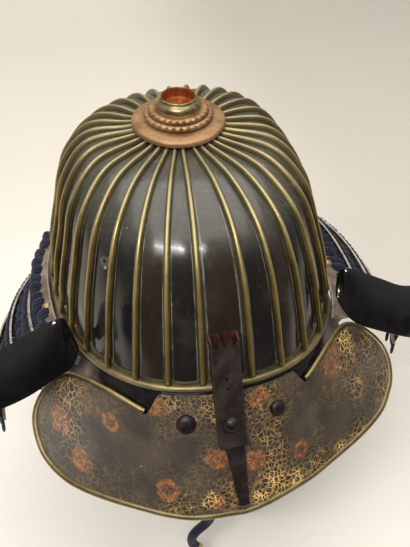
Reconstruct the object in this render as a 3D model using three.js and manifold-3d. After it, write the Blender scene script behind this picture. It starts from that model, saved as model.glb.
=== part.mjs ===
// A kabuto: a ribbed samurai helmet with a leather faced peak, a crest holder, a laced neck guard
// and a chin cord.
// Units are millimetres. Front is -Y, the wearer's left is +X, up is +Z.
// The origin is the centre of the bowl's rim.
import * as THREE from 'three';
import { mergeVertices } from 'three/addons/utils/BufferGeometryUtils.js';
import Module from 'manifold-3d';

const wasm = await Module();
wasm.setup();

// ---- driving dimensions ----

const RIM = { side: 107.5, front: 143, back: 129, exponent: 2.36 };

// The dome's meridians, rim first and crown last: reach from the axis and rise above the rim.
const DOME = [
  { side: 107.5, sideRise: 0, front: 143, frontRise: 0, back: 129, backRise: 0, shift: 0 },
  { side: 104.3, sideRise: 28, front: 134.8, frontRise: 36, back: 131.8, backRise: 35.5, shift: 0.5 },
  { side: 97.9, sideRise: 56.5, front: 125, frontRise: 71, back: 121.9, backRise: 71.5, shift: 1.9 },
  { side: 89.8, sideRise: 89.8, front: 105, frontRise: 101, back: 98.8, backRise: 102.5, shift: 3.7 },
  { side: 69.5, sideRise: 117, front: 73, frontRise: 117, back: 68, backRise: 122.4, shift: 5.5 },
  { side: 35.5, sideRise: 122.6, front: 38, frontRise: 120.4, back: 33.5, backRise: 122.9, shift: 7 },
  { side: 6, sideRise: 124, front: 6, frontRise: 121.6, back: 6, backRise: 122, shift: 7.4 },
];
// The crown's back stands a little higher on the wearer's left.
const DOME_LEAN = 2.5;
// Levels between the meridians' rows at which plates and ribs bend.
const LEVELS = [0, 0.5, 1.2, 2, 2.7, 3.35, 3.95, 4.5, 5.02, 5.75];

const PLATE = { depth: 3, bottomDepth: 4, wall: 2.4, steps: 56, seamRib: 7, seamGap: 0.09 };
const RIBS = {
  perSide: 16, frontHalfGap: 17.8, width: 4.2, height: 3.4, lift: 0.55, footLevel: 0.07, topLevels: 8,
};
const BORDER = { low: 5, high: 12, wall: 0.8, gap: 0.4 };
const RIM_EDGE = { width: 4.6, height: 5.4, drop: 1.4 };
const WAIST = { start: -4.2, reach: -0.4, length: 30, wall: 1.5, frontSlope: 62, backSlope: 76 };

const CROWN = { shift: 7.4, height: 129.7, tilt: 4.1, flange: 34.9, bore: 11.6 };

const VISOR = { start: -3.4, reach: 2, frontSlope: 60, sideSlope: 8, turnFrom: 20, turnTo: 66, tip: 51.1 };
const VISOR_LEAN = { upper: 1.5, lower: 3.4 };
const VISOR_WALL = { plate: 1.5, gap: 0.3, leather: 0.9, inset: 3.3, edgeRadius: 1.9 };
// The peak's lower and upper outlines: degrees from the front, and millimetres down the slope from the rim.
// It sits a little askew: its outlines lean down to the wearer's right and up to the left.
const VISOR_LOWER = [
  { azimuth: 0, down: 88 },
  { azimuth: 10, down: 85 },
  { azimuth: 20, down: 81.4 },
  { azimuth: 30, down: 77.4 },
  { azimuth: 38, down: 74 },
  { azimuth: 43, down: 70 },
  { azimuth: 46.5, down: 63 },
  { azimuth: 49.3, down: 53.5 },
  { azimuth: 50.7, down: 43 },
  { azimuth: 51.1, down: 33 },
];
const VISOR_UPPER = [
  { azimuth: 0, down: 0.8 },
  { azimuth: 19.3, down: 0.8 },
  { azimuth: 22.8, down: 13.4 },
  { azimuth: 25, down: 12 },
  { azimuth: 30, down: 9 },
  { azimuth: 35, down: 7.8 },
  { azimuth: 40, down: 8.6 },
  { azimuth: 45, down: 11.4 },
  { azimuth: 48.2, down: 15 },
  { azimuth: 50, down: 20 },
  { azimuth: 50.9, down: 26 },
  { azimuth: 51.1, down: 33 },
];
const NOTCH = 23.2;

const PEAK_RIVETS = { azimuth: 12.1, down: 20.6, leftRadius: 5.8, rightRadius: 7 };
const HOLDER = { wall: 1.2, teeth: 3, toothDepth: 5, rivetRadius: 6.2 };
// The crest holder's stations from the mouth to the foot of the box: centre line, width and depth.
const HOLDER_STATIONS = [
  { x: -4, y: -143.4, z: 43, width: 20, depth: 8.8 },
  { x: -3.6, y: -150.8, z: 14, width: 19.8, depth: 8.6 },
  { x: -3.3, y: -157.8, z: -11, width: 19.8, depth: 6.4 },
  { x: -3, y: -168, z: -34.5, width: 19.6, depth: 4.2 },
];
const STEM = { from: 34, to: 82, topWidth: 15, tipWidth: 7, wall: 1.8, lift: 2.6 };

// The neck guard's lames: outward from the rim and height of their upper and lower edges, their front ends in
// degrees, and how far each hangs to the wearer's left and turns up there, because the laces let it swing.
const LAMES = [
  { topOut: 3, topRise: -5.5, footOut: 19, footRise: -14, front: 52, sway: 4, turn: 0 },
  { topOut: 24, topRise: -11, footOut: 33.5, footRise: -33, front: 59, sway: 2, turn: 1.8 },
  { topOut: 41.6, topRise: -26, footOut: 48, footRise: -52, front: 66, sway: 1.6, turn: 1.8 },
  { topOut: 56.4, topRise: -46, footOut: 61, footRise: -76, front: 70, sway: 1.2, turn: 1.8 },
];
const GUARD = { backDrop: 12, sideDrop: 8, backDraw: 0.22, sideDraw: 0.34 };
const LAME = { wall: 1.5, steps: 32 };
const LACING = { wall: 2.2, gap: 0.4, overlap: 7 };
const STUD = { azimuth: 81, out: 8.1, radius: 3.9 };

// The turned-back front end on the wearer's left: stations from the hidden root round the fold to the free end.
const TURNBACK = [
  { top: [103, -72, 9], foot: [106, -77, 0] },
  { top: [98.5, -83, 18], foot: [101, -91, 7] },
  { top: [96.4, -88, 35.7], foot: [92, -100, 26.1] },
  { top: [97.5, -90.5, 42.8], foot: [95.9, -107, 17.7] },
  { top: [104.3, -92.5, 44.4], foot: [105.9, -112, 7.4] },
  { top: [130, -89, 28], foot: [134, -112, -8] },
  { top: [150, -84, 14], foot: [155, -108, -20] },
  { top: [170, -74, 2], foot: [176, -98, -32] },
  { top: [181, -68, -8], foot: [185, -86, -32] },
];
const TURNBACK_WALL = 1.6;
// The fold on the right hangs lower and further out: the stations that differ there, before mirroring.
const TURNBACK_RIGHT = {
  1: { top: [99.5, -83, 15], foot: [102, -91, 4] },
  2: { top: [102.7, -88, 32.4], foot: [96.8, -100, 15.5] },
  3: { top: [104.7, -90.5, 38.5], foot: [103.3, -107, 7.2] },
  4: { top: [112, -92.5, 39.4], foot: [116.6, -112, 3.1] },
};

const CORD = { diameter: 8.4, sides: 8, azimuth: 45, ringRadius: 7, ringWire: 1.3 };
// The chin cord's loop, by hand, from the ring on the wearer's left to the ring on the right.
const CHIN_LOOP = [
  [92, -91, -40], [92, -92, -52], [91, -93, -66], [89, -94.5, -82], [85, -96, -100], [79, -98, -118],
  [70, -100, -136], [59, -101.5, -151], [45, -103, -164], [30, -104, -173], [14, -104.5, -178],
  [-2, -105, -180], [-17, -104.5, -177.5], [-32, -104, -172], [-46, -103, -163], [-59, -101.5, -151],
  [-70, -100, -136], [-79, -98, -118], [-85, -96, -100], [-89, -94.5, -82], [-91, -93, -66],
  [-92, -92, -52], [-92, -91, -40],
];
// Its short free end, from the knot at the middle of the loop to the bound tip.
const FREE_END = [
  [-4.5, -104, -186.4], [-4.5, -104, -192], [-5.2, -104, -196], [-7.3, -104, -200], [-10.5, -104, -203.8],
  [-14.2, -104, -207.4], [-17.8, -104, -211.2], [-20.5, -104, -215.6], [-21.8, -104, -220.6],
  [-21.2, -104, -225.8], [-19, -104, -230.6], [-16, -104, -234.6],
];
const KNOT = { x: -4.5, y: -105, z: -179.7, radius: 8.2, bore: 5.9, length: 14 };

const finishes = {
  lacquer: { color: 0x2a2523, roughness: 0.25, metalness: 0.2 },
  brass: { color: 0x8c7a48, roughness: 0.45, metalness: 0.9 },
  copper: { color: 0xa06f50, roughness: 0.5, metalness: 0.8 },
  russetIron: { color: 0x3a2e2b, roughness: 0.7, metalness: 0.5 },
  leather: { color: 0x46402f, roughness: 0.7, metalness: 0 },
  lame: { color: 0x6b5d54, roughness: 0.45, metalness: 0.2 },
  silk: { color: 0x20243a, roughness: 0.9, metalness: 0 },
  gilt: { color: 0xc09a58, roughness: 0.4, metalness: 0.9 },
};

const root = new THREE.Group();
const vec = (x, y, z) => new THREE.Vector3(x, y, z);
const radians = THREE.MathUtils.degToRad;

// ---- geometry helpers ----

// A closed mesh from points and triangles, turned so that its faces point out.
function solid(points, triangles) {
  let volume = 0;
  for (const [a, b, c] of triangles) volume += points[a].dot(points[b].clone().cross(points[c]));
  const faces = volume < 0 ? triangles.map(([a, b, c]) => [a, c, b]) : triangles;
  const geometry = new THREE.BufferGeometry();
  geometry.setAttribute('position', new THREE.Float32BufferAttribute(points.flatMap((p) => p.toArray()), 3));
  geometry.setIndex(faces.flat());
  geometry.computeVertexNormals();
  return geometry;
}

// A wall between two surfaces over the same grid of (u, v) in 0..1; wrapped walls close on themselves in u.
function wall(columns, rows, wrapped, outer, inner) {
  const across = wrapped ? columns : columns + 1;
  const points = [];
  for (const surface of [outer, inner]) {
    for (let i = 0; i < across; i++) {
      for (let j = 0; j <= rows; j++) points.push(surface(i / columns, j / rows));
    }
  }
  const half = across * (rows + 1);
  const at = (side, i, j) => side * half + (i % across) * (rows + 1) + j;
  const triangles = [];
  const quad = (a, b, c, d) => triangles.push([a, b, c], [a, c, d]);
  for (let i = 0; i < columns; i++) {
    for (let j = 0; j < rows; j++) {
      quad(at(0, i, j), at(0, i + 1, j), at(0, i + 1, j + 1), at(0, i, j + 1));
      quad(at(1, i, j), at(1, i, j + 1), at(1, i + 1, j + 1), at(1, i + 1, j));
    }
    quad(at(0, i, 0), at(1, i, 0), at(1, i + 1, 0), at(0, i + 1, 0));
    quad(at(0, i, rows), at(0, i + 1, rows), at(1, i + 1, rows), at(1, i, rows));
  }
  if (!wrapped) {
    for (let j = 0; j < rows; j++) {
      quad(at(0, 0, j), at(0, 0, j + 1), at(1, 0, j + 1), at(1, 0, j));
      quad(at(0, columns, j), at(1, columns, j), at(1, columns, j + 1), at(0, columns, j + 1));
    }
  }
  return solid(points, triangles);
}

// A bar through rings of equal point counts, closed into a hoop or capped at both ends.
function bar(rings, hoop) {
  const sides = rings[0].length;
  const points = rings.flat();
  const triangles = [];
  const spans = hoop ? rings.length : rings.length - 1;
  for (let i = 0; i < spans; i++) {
    const next = (i + 1) % rings.length;
    for (let k = 0; k < sides; k++) {
      const k2 = (k + 1) % sides;
      const [a, b, c, d] = [i * sides + k, i * sides + k2, next * sides + k2, next * sides + k];
      triangles.push([a, b, c], [a, c, d]);
    }
  }
  if (!hoop) {
    const last = (rings.length - 1) * sides;
    for (let k = 1; k < sides - 1; k++) triangles.push([0, k + 1, k], [last, last + k, last + k + 1]);
  }
  return solid(points, triangles);
}

function lathe(profile, segments) {
  const geometry = new THREE.LatheGeometry(profile.map(([r, z]) => new THREE.Vector2(r, z)), segments);
  geometry.rotateX(Math.PI / 2);
  geometry.deleteAttribute('normal');
  geometry.deleteAttribute('uv');
  const merged = mergeVertices(geometry, 1e-4);
  const at = merged.getAttribute('position');
  const points = Array.from({ length: at.count }, (_, i) => vec(at.getX(i), at.getY(i), at.getZ(i)));
  const triangles = [];
  const index = merged.getIndex().array;
  for (let i = 0; i < index.length; i += 3) {
    const [a, b, c] = index.slice(i, i + 3);
    if (a !== b && b !== c && c !== a) triangles.push([a, b, c]);
  }
  return solid(points, triangles);
}

// A hoop of six-sided wire about the Z axis.
function ringGeometry(radius, height, wire, segments) {
  return lathe(Array.from({ length: 7 }, (_, k) => {
    const a = (k / 6) * 2 * Math.PI;
    return [radius + wire * Math.cos(a), height + wire * Math.sin(a)];
  }), segments);
}

function toManifold(geometry) {
  const vertProperties = new Float32Array(geometry.getAttribute('position').array);
  const triVerts = new Uint32Array(geometry.getIndex().array);
  return new wasm.Manifold(new wasm.Mesh({ numProp: 3, vertProperties, triVerts }));
}

function fromManifold(manifold) {
  const mesh = manifold.getMesh();
  const geometry = new THREE.BufferGeometry();
  geometry.setAttribute('position', new THREE.Float32BufferAttribute(mesh.vertProperties, 3));
  geometry.setIndex(Array.from(mesh.triVerts));
  geometry.computeVertexNormals();
  return geometry;
}

function add(name, geometry, finish, parent = root) {
  const mesh = new THREE.Mesh(geometry, new THREE.MeshStandardMaterial(finishes[finish]));
  mesh.name = name;
  parent.add(mesh);
  return mesh;
}

const mirrored = (geometry) => {
  const at = geometry.getAttribute('position');
  const points = Array.from({ length: at.count }, (_, i) => vec(-at.getX(i), at.getY(i), at.getZ(i)));
  const index = Array.from(geometry.getIndex().array);
  const triangles = [];
  for (let i = 0; i < index.length; i += 3) triangles.push(index.slice(i, i + 3));
  return solid(points, triangles);
};

// A smooth curve through evenly spaced values, read at a place between 0 and the last index.
function spline(values, place) {
  const i = Math.min(Math.floor(place), values.length - 2);
  const t = place - i;
  const p1 = values[i];
  const p2 = values[i + 1];
  const p0 = i > 0 ? values[i - 1] : 2 * p1 - p2;
  const p3 = i + 2 < values.length ? values[i + 2] : 2 * p2 - p1;
  return p1 + 0.5 * t * (p2 - p0 + t * (2 * p0 - 5 * p1 + 4 * p2 - p3 + t * (3 * (p1 - p2) + p3 - p0)));
}

// A smooth curve through rows of unevenly spaced azimuths.
function chart(rows, column, azimuth) {
  const a = Math.min(Math.abs(azimuth), rows[rows.length - 1].azimuth);
  let i = 0;
  while (i < rows.length - 2 && a > rows[i + 1].azimuth) i++;
  const slope = (k) => {
    if (k <= 0 || k >= rows.length - 1) return null;
    const before = (rows[k][column] - rows[k - 1][column]) / (rows[k].azimuth - rows[k - 1].azimuth);
    const after = (rows[k + 1][column] - rows[k][column]) / (rows[k + 1].azimuth - rows[k].azimuth);
    return before * after <= 0 ? 0 : (2 * before * after) / (before + after);
  };
  const span = rows[i + 1].azimuth - rows[i].azimuth;
  const chord = (rows[i + 1][column] - rows[i][column]) / span;
  const m0 = slope(i) ?? chord;
  const m1 = slope(i + 1) ?? chord;
  const t = (a - rows[i].azimuth) / span;
  const t2 = t * t;
  const t3 = t2 * t;
  return (2 * t3 - 3 * t2 + 1) * rows[i][column] + (t3 - 2 * t2 + t) * span * m0
    + (3 * t2 - 2 * t3) * rows[i + 1][column] + (t3 - t2) * span * m1;
}

const smooth = (from, to, x) => {
  const t = THREE.MathUtils.clamp((x - from) / (to - from), 0, 1);
  return t * t * (3 - 2 * t);
};

// ---- shared forms ----

// The rim's radius at an azimuth in degrees from the front, positive towards the wearer's left.
function ovalRadius(azimuth, side, end) {
  const s = Math.abs(Math.sin(radians(azimuth))) / side;
  const c = Math.abs(Math.cos(radians(azimuth))) / end;
  return (s ** RIM.exponent + c ** RIM.exponent) ** (-1 / RIM.exponent);
}

const facesFront = (azimuth) => Math.cos(radians(azimuth)) > 0;
const rimRadius = (azimuth) => ovalRadius(azimuth, RIM.side, facesFront(azimuth) ? RIM.front : RIM.back);
function around(azimuth, radius, z) {
  const a = radians(azimuth);
  return vec(radius * Math.sin(a), -radius * Math.cos(a), z);
}

function domeSkin(azimuth, level) {
  const read = (column) => spline(DOME.map((row) => row[column]), level);
  const end = facesFront(azimuth) ? 'front' : 'back';
  const radius = ovalRadius(azimuth, read('side'), read(end));
  const share = Math.cos(radians(azimuth)) ** 2;
  const lean = end === 'back' ? smooth(2, 4.2, level) * (1 - smooth(4.6, 5.3, level)) : 0;
  const rise = read('sideRise') * (1 - share) + read(`${end}Rise`) * share
    + DOME_LEAN * lean * Math.sin(radians(2 * azimuth)) * -1;
  return around(azimuth, radius, rise).add(vec(0, read('shift'), 0));
}

// The dome's skin moved out along its own normal.
function domePoint(azimuth, level, offset) {
  const low = Math.min(level, DOME.length - 1.02);
  const along = domeSkin(azimuth + 0.5, low).sub(domeSkin(azimuth - 0.5, low));
  const up = domeSkin(azimuth, low + 0.01).sub(domeSkin(azimuth, Math.max(low - 0.01, 0)));
  return domeSkin(azimuth, level).addScaledVector(along.cross(up).normalize(), offset);
}

// Azimuths at equal steps along the rim's length, from a first half gap at the front.
function ribAzimuths() {
  const fine = 0.1;
  const lengths = [0];
  for (let a = fine; a <= 180 + fine / 2; a += fine) {
    const before = around(a - fine, rimRadius(a - fine), 0);
    lengths.push(lengths[lengths.length - 1] + around(a, rimRadius(a), 0).distanceTo(before));
  }
  const step = (lengths[lengths.length - 1] - RIBS.frontHalfGap) / (RIBS.perSide - 0.5);
  return Array.from({ length: RIBS.perSide }, (_, k) => {
    const target = RIBS.frontHalfGap + k * step;
    return fine * lengths.findIndex((length) => length >= target);
  });
}

// A band that starts beside the rim and runs out and down at a slope, moved out along its normal by lift.
function slopePoint(azimuth, reach, start, slope, down, lift) {
  const a = radians(slope);
  const radius = rimRadius(azimuth) + reach + down * Math.cos(a) + lift * Math.sin(a);
  return around(azimuth, radius, start - down * Math.sin(a) + lift * Math.cos(a));
}

function visorPoint(azimuth, down, lift) {
  const turn = smooth(VISOR.turnFrom, VISOR.turnTo, Math.abs(azimuth));
  const slope = VISOR.frontSlope + (VISOR.sideSlope - VISOR.frontSlope) * turn;
  return slopePoint(azimuth, VISOR.reach, VISOR.start, slope, down, lift);
}

function waistPoint(azimuth, down, lift) {
  const turn = smooth(40, 100, Math.abs(azimuth));
  const slope = WAIST.frontSlope + (WAIST.backSlope - WAIST.frontSlope) * turn;
  return slopePoint(azimuth, WAIST.reach, WAIST.start, slope, down, lift);
}

const turnOf = (u) => 360 * u - 180;

// ---- the bowl ----

const plateDepth = (level) => -PLATE.depth - (PLATE.bottomDepth - PLATE.depth) * Math.max(0, 1 - level);

// Two halves of sixteen plates each, which meet under a rib on each side.
function addBowl() {
  const level = (v) => LEVELS[Math.round(v * (LEVELS.length - 1))];
  const seam = ribAzimuths()[PLATE.seamRib];
  for (const [name, from, to] of [['bowl_front', -seam, seam], ['bowl_back', seam, 360 - seam]]) {
    const turn = (u) => from + PLATE.seamGap + (to - from - 2 * PLATE.seamGap) * u;
    const skin = (depth) => (u, v) => domePoint(turn(u), level(v), plateDepth(level(v)) - depth);
    add(name, wall(PLATE.steps / 2, LEVELS.length - 1, false, skin(0), skin(PLATE.wall)), 'lacquer');
  }
}

// A standing flange: a rounded bar of four corners, sunk to just above the plates.
function ribGeometry(azimuth) {
  const rings = [];
  for (const level of [RIBS.footLevel, ...LEVELS.slice(1, RIBS.topLevels + 1)]) {
    const foot = plateDepth(level) + RIBS.lift + 1.9 * (1 - smooth(0.5, 1.2, level));
    const taper = 1 - 0.2 * smooth(3, 5.2, level);
    const side = domeSkin(azimuth + 0.5, level).sub(domeSkin(azimuth - 0.5, level)).normalize();
    const corner = (across, lift) => domePoint(azimuth, level, lift).addScaledVector(side, across * taper);
    const top = foot + RIBS.height;
    rings.push([
      corner(-RIBS.width / 2, foot), corner(-RIBS.width / 4, top),
      corner(RIBS.width / 4, top), corner(RIBS.width / 2, foot),
    ]);
  }
  return bar(rings, false);
}

function addRibs() {
  const azimuths = ribAzimuths();
  const all = [...azimuths, ...azimuths.map((a) => -a).reverse()];
  all.forEach((azimuth, k) => add(`rib_${String(k + 1).padStart(2, '0')}`, ribGeometry(azimuth), 'brass'));
}

// The strip along the plates' feet, low between the ribs and high beside them.
function addBorderStrip() {
  const azimuths = ribAzimuths();
  const next = (k) => (k + 1 < azimuths.length ? (azimuths[k] + azimuths[k + 1]) / 2 : 180);
  const stops = [0, ...azimuths.flatMap((a, k) => [a, next(k)])];
  const ring = [...stops.map((a, k) => ({ a, high: k % 2 === 1 })),
    ...stops.slice(1, -1).map((a, k) => ({ a: -a, high: k % 2 === 0 })).reverse()];
  const face = (lift) => (u, v) => {
    const stop = ring[Math.round(u * ring.length) % ring.length];
    const rise = 2.2 + v * ((stop.high ? BORDER.high : BORDER.low) - 2.2);
    const level = rise / 32;
    return domePoint(stop.a, level, plateDepth(level) + BORDER.gap + lift);
  };
  add('border_strip', wall(ring.length, 1, true, face(BORDER.wall), face(0)), 'brass');
}

function addRimEdge() {
  const rings = [];
  const steps = 56;
  for (let i = 0; i < steps; i++) {
    const azimuth = turnOf(i / steps);
    const radius = rimRadius(azimuth);
    const corner = (out, up) => around(azimuth, radius + out, up - RIM_EDGE.drop);
    rings.push([
      corner(-RIM_EDGE.width + 1, -RIM_EDGE.height / 2 + 0.6), corner(-1, -RIM_EDGE.height / 2 + 0.3),
      corner(1, 0), corner(-0.6, RIM_EDGE.height / 2), corner(-RIM_EDGE.width + 1, RIM_EDGE.height / 2),
    ]);
  }
  add('rim_edge', bar(rings, true), 'brass');
}

// The waist band carries a small iron ring on each side for the chin cord.
function addWaistBand() {
  const face = (lift) => (u, v) => waistPoint(turnOf(u), v * WAIST.length, lift);
  let band = toManifold(wall(PLATE.steps, 2, true, face(0), face(-WAIST.wall)));
  for (const azimuth of [CORD.azimuth, -CORD.azimuth]) {
    const ring = ringGeometry(CORD.ringRadius, 0, CORD.ringWire, 12);
    const edge = waistPoint(azimuth, WAIST.length, -WAIST.wall / 2);
    const centre = around(azimuth, Math.hypot(edge.x, edge.y) - CORD.ringRadius, edge.z);
    ring.translate(centre.x, centre.y, centre.z);
    band = band.add(toManifold(ring));
  }
  add('waist_band', fromManifold(band), 'lacquer');
}

// ---- the crown fitting ----

function addCrown() {
  const crown = new THREE.Group();
  crown.position.set(0, CROWN.shift, CROWN.height);
  crown.rotation.x = radians(CROWN.tilt);
  root.add(crown);
  const bore = CROWN.bore;
  const flange = CROWN.flange;
  add('crown_flange', lathe([
    [bore, -3.6], [flange - 3, -3.6], [flange - 2.6, -5.4], [flange - 0.7, -5.4], [flange, -3.2],
    [flange - 0.6, -0.6], [26, 0.4], [bore, 1.1], [bore, -3.6],
  ], 28), 'copper', crown);
  // Two beaded hoops round the foot of a short sleeve.
  add('crown_bead_rings', lathe([
    [bore, 1.5], [23.4, 1.5], [25.4, 2.6], [25.4, 4.4], [23.4, 5.6], [21.8, 5.6], [21.8, 8],
    [20.4, 9], [17.8, 9],
    [15.3, 8.2], [15.3, 10.4], [bore, 10.4], [bore, 1.5],
  ], 28), 'copper', crown);
  add('crown_collar', lathe([
    [bore, 10.8], [15.8, 10.8], [16.7, 12.2], [15.6, 14.2], [13.4, 15.8], [13.2, 17.4],
    [12.2, 17.6], [bore + 0.3, 16.4],
    [bore, 10.8],
  ], 24), 'brass', crown);
}

// ---- the peak ----

// The peak's edges at an azimuth, with its lean.
function visorEdge(edge, azimuth) {
  const size = Math.abs(azimuth);
  const side = Math.sign(azimuth);
  if (edge === 'lower') {
    const onRight = 1 - smooth(36, 48, size);
    const onLeft = 1 + 0.6 * smooth(38, 43, size);
    const lean = VISOR_LEAN.lower * side * smooth(0, 13, size) * (side < 0 ? onRight : onLeft);
    return chart(VISOR_LOWER, 'down', azimuth) - lean;
  }
  return chart(VISOR_UPPER, 'down', azimuth) - VISOR_LEAN.upper * side * smooth(20, NOTCH, size);
}

// The peak's outline, drawn in by an inset from all its edges.
function visorRange(u, inset) {
  const tip = VISOR.tip - (inset / 150) * (180 / Math.PI);
  const azimuth = tip * u;
  const upper = visorEdge('upper', VISOR.tip * u);
  const lower = visorEdge('lower', VISOR.tip * u);
  const room = Math.min(inset, (lower - upper) / 2 - 1);
  return { azimuth, upper: upper + (Math.abs(azimuth) < NOTCH - 1 ? 0 : room), lower: lower - room };
}

// Columns crowd towards the tips and stand on both sides of each notch.
const VISOR_COLUMNS = [0, 0.12, 0.25, 0.36, 0.4, 0.44, 0.48, 0.58, 0.68, 0.78, 0.86, 0.92, 0.96, 0.985, 0.998];

function visorWall(low, high) {
  const stops = [...VISOR_COLUMNS.slice(1).reverse().map((c) => -c), ...VISOR_COLUMNS];
  const count = stops.length - 1;
  const face = (lift) => (u, v) => {
    const range = visorRange(stops[Math.round(u * count)], VISOR_WALL.inset);
    return visorPoint(range.azimuth, range.upper + v * (range.lower - range.upper), lift);
  };
  return wall(count, 5, false, face(high), face(low));
}

// The edge strip's path: from the notch round the lobe and along the lower edge to the other notch.
function edgeStops() {
  const inner = [];
  for (let a = NOTCH; a < VISOR.tip - 0.05; a += a < 46 ? 3.2 : a < 50.4 ? 1.4 : 0.6) inner.push(a);
  const outer = [];
  for (let a = VISOR.tip - 0.2; a > 0.5; a -= a > 51 ? 0.4 : a > 46 ? 1.4 : 4.2) outer.push(a);
  const tip = (side) => {
    const down = (visorEdge('upper', side * VISOR.tip) + visorEdge('lower', side * VISOR.tip)) / 2;
    return { azimuth: side * VISOR.tip, down };
  };
  const lobe = (side) => [
    ...inner.map((a) => ({ azimuth: side * a, down: visorEdge('upper', side * a) })),
    tip(side),
    ...outer.map((a) => ({ azimuth: side * a, down: visorEdge('lower', side * a) })),
  ];
  return [...lobe(1), { azimuth: 0, down: visorEdge('lower', 0) }, ...lobe(-1).reverse()];
}

function addPeak() {
  const { plate, gap, leather, edgeRadius } = VISOR_WALL;
  add('peak', visorWall(-plate, 0), 'lacquer');
  add('peak_leather', visorWall(gap, gap + leather), 'leather');
  const path = edgeStops().map((stop) => visorPoint(stop.azimuth, stop.down, 0));
  const lifted = edgeStops().map((stop) => visorPoint(stop.azimuth, stop.down, 1));
  const rings = path.map((centre, i) => {
    const along = path[Math.min(i + 1, path.length - 1)].clone().sub(path[Math.max(i - 1, 0)]).normalize();
    const up = lifted[i].clone().sub(centre);
    const across = along.clone().cross(up).normalize();
    const square = across.clone().cross(along).normalize();
    return Array.from({ length: 6 }, (_, k) => {
      const a = radians(60 * k);
      const sideways = centre.clone().addScaledVector(across, edgeRadius * Math.cos(a));
      return sideways.addScaledVector(square, edgeRadius * Math.sin(a));
    });
  });
  add('peak_edge', bar(rings, false), 'brass');
}

// A domed head whose flat back lies on a surface point, facing along that surface's normal.
function rivetGeometry(radius, height, foot, tip) {
  const shoulder = [[radius * 0.93, height * 0.45], [radius * 0.6, height * 0.85]];
  const geometry = lathe([[0, 0], [radius, 0], ...shoulder, [0, height]], 12);
  const up = tip.clone().sub(foot).normalize();
  geometry.applyQuaternion(new THREE.Quaternion().setFromUnitVectors(vec(0, 0, 1), up));
  geometry.translate(foot.x, foot.y, foot.z);
  return geometry;
}

function addPeakRivets() {
  const top = VISOR_WALL.gap + VISOR_WALL.leather;
  const place = (azimuth, radius) => {
    const foot = visorPoint(azimuth, PEAK_RIVETS.down, top + 0.5);
    return rivetGeometry(radius, 3.2, foot, visorPoint(azimuth, PEAK_RIVETS.down, top + 2));
  };
  add('peak_rivet_right', place(-PEAK_RIVETS.azimuth, PEAK_RIVETS.rightRadius), 'russetIron');
  add('peak_rivet_left', place(PEAK_RIVETS.azimuth, PEAK_RIVETS.leftRadius), 'russetIron');
}

// ---- the crest holder ----

function stationRing(stations, index, shrink) {
  const at = stations[index];
  const before = stations[Math.max(index - 1, 0)];
  const after = stations[Math.min(index + 1, stations.length - 1)];
  const along = vec(after.x - before.x, after.y - before.y, after.z - before.z).normalize();
  const across = vec(1, 0, 0).addScaledVector(along, -along.x).normalize();
  const out = across.clone().cross(along).normalize();
  const [w, d] = [at.width / 2 - shrink, at.depth / 2 - shrink];
  const centre = vec(at.x, at.y, at.z);
  const corner = (a, b) => centre.clone().addScaledVector(across, a).addScaledVector(out, b);
  return [corner(-w, -d), corner(w, -d), corner(w, d), corner(-w, d)];
}

function addHolder() {
  const box = bar(HOLDER_STATIONS.map((_, i) => stationRing(HOLDER_STATIONS, i, 0)), false);
  const [mouth, waist, heel] = HOLDER_STATIONS;
  const above = { ...mouth, x: 2 * mouth.x - waist.x, y: 2 * mouth.y - waist.y, z: 2 * mouth.z - waist.z };
  const bore = [above, mouth, waist, { ...heel, z: heel.z + 6, y: heel.y + 2 }];
  const cavity = bar(bore.map((_, i) => stationRing(bore, i, HOLDER.wall)), false);
  // The mouth's front edge is cut into teeth by upright wedges.
  const teeth = Array.from({ length: HOLDER.teeth }, (_, k) => {
    const pitch = mouth.width / HOLDER.teeth;
    const x = mouth.x - mouth.width / 2 + pitch * (k + 0.5);
    const open = pitch * 0.36;
    const tip = mouth.z - HOLDER.toothDepth;
    const wedge = (y) => [vec(x, y, tip), vec(x + open, y, mouth.z + 1), vec(x - open, y, mouth.z + 1)];
    return toManifold(bar([wedge(mouth.y - mouth.depth), wedge(mouth.y - 1)], false));
  });
  const stemRings = [];
  for (let i = 0; i <= 3; i++) {
    const down = STEM.from - 4 + ((STEM.to - STEM.from + 4) * i) / 3;
    const half = (STEM.topWidth + ((STEM.tipWidth - STEM.topWidth) * i) / 3) / 2;
    const corner = (x, lift) => visorPoint(0, down, lift).add(vec(x - 2 * (1 - i / 3), 0, 0));
    stemRings.push([corner(-half, STEM.lift - STEM.wall / 2), corner(half, STEM.lift - STEM.wall / 2),
      corner(half, STEM.lift + STEM.wall / 2), corner(-half, STEM.lift + STEM.wall / 2)]);
  }
  let holder = toManifold(box).subtract(toManifold(cavity));
  for (const tooth of teeth) holder = holder.subtract(tooth);
  holder = holder.add(toManifold(bar(stemRings, false)));
  add('crest_holder', fromManifold(holder), 'russetIron');
  const [, , upper, lower] = HOLDER_STATIONS;
  const share = 0.3;
  const fall = vec(0, lower.y - upper.y, lower.z - upper.z);
  const centre = vec(upper.x, upper.y, upper.z).addScaledVector(fall, share);
  const along = fall.clone().normalize();
  const out = vec(1, 0, 0).cross(along).normalize();
  if (out.y > 0) out.negate();
  const depth = upper.depth + (lower.depth - upper.depth) * share;
  const foot = centre.clone().addScaledVector(out, depth / 2 + 0.4);
  add('holder_rivet', rivetGeometry(HOLDER.rivetRadius, 4.2, foot, foot.clone().add(out)), 'russetIron');
}

// ---- the neck guard ----

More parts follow.
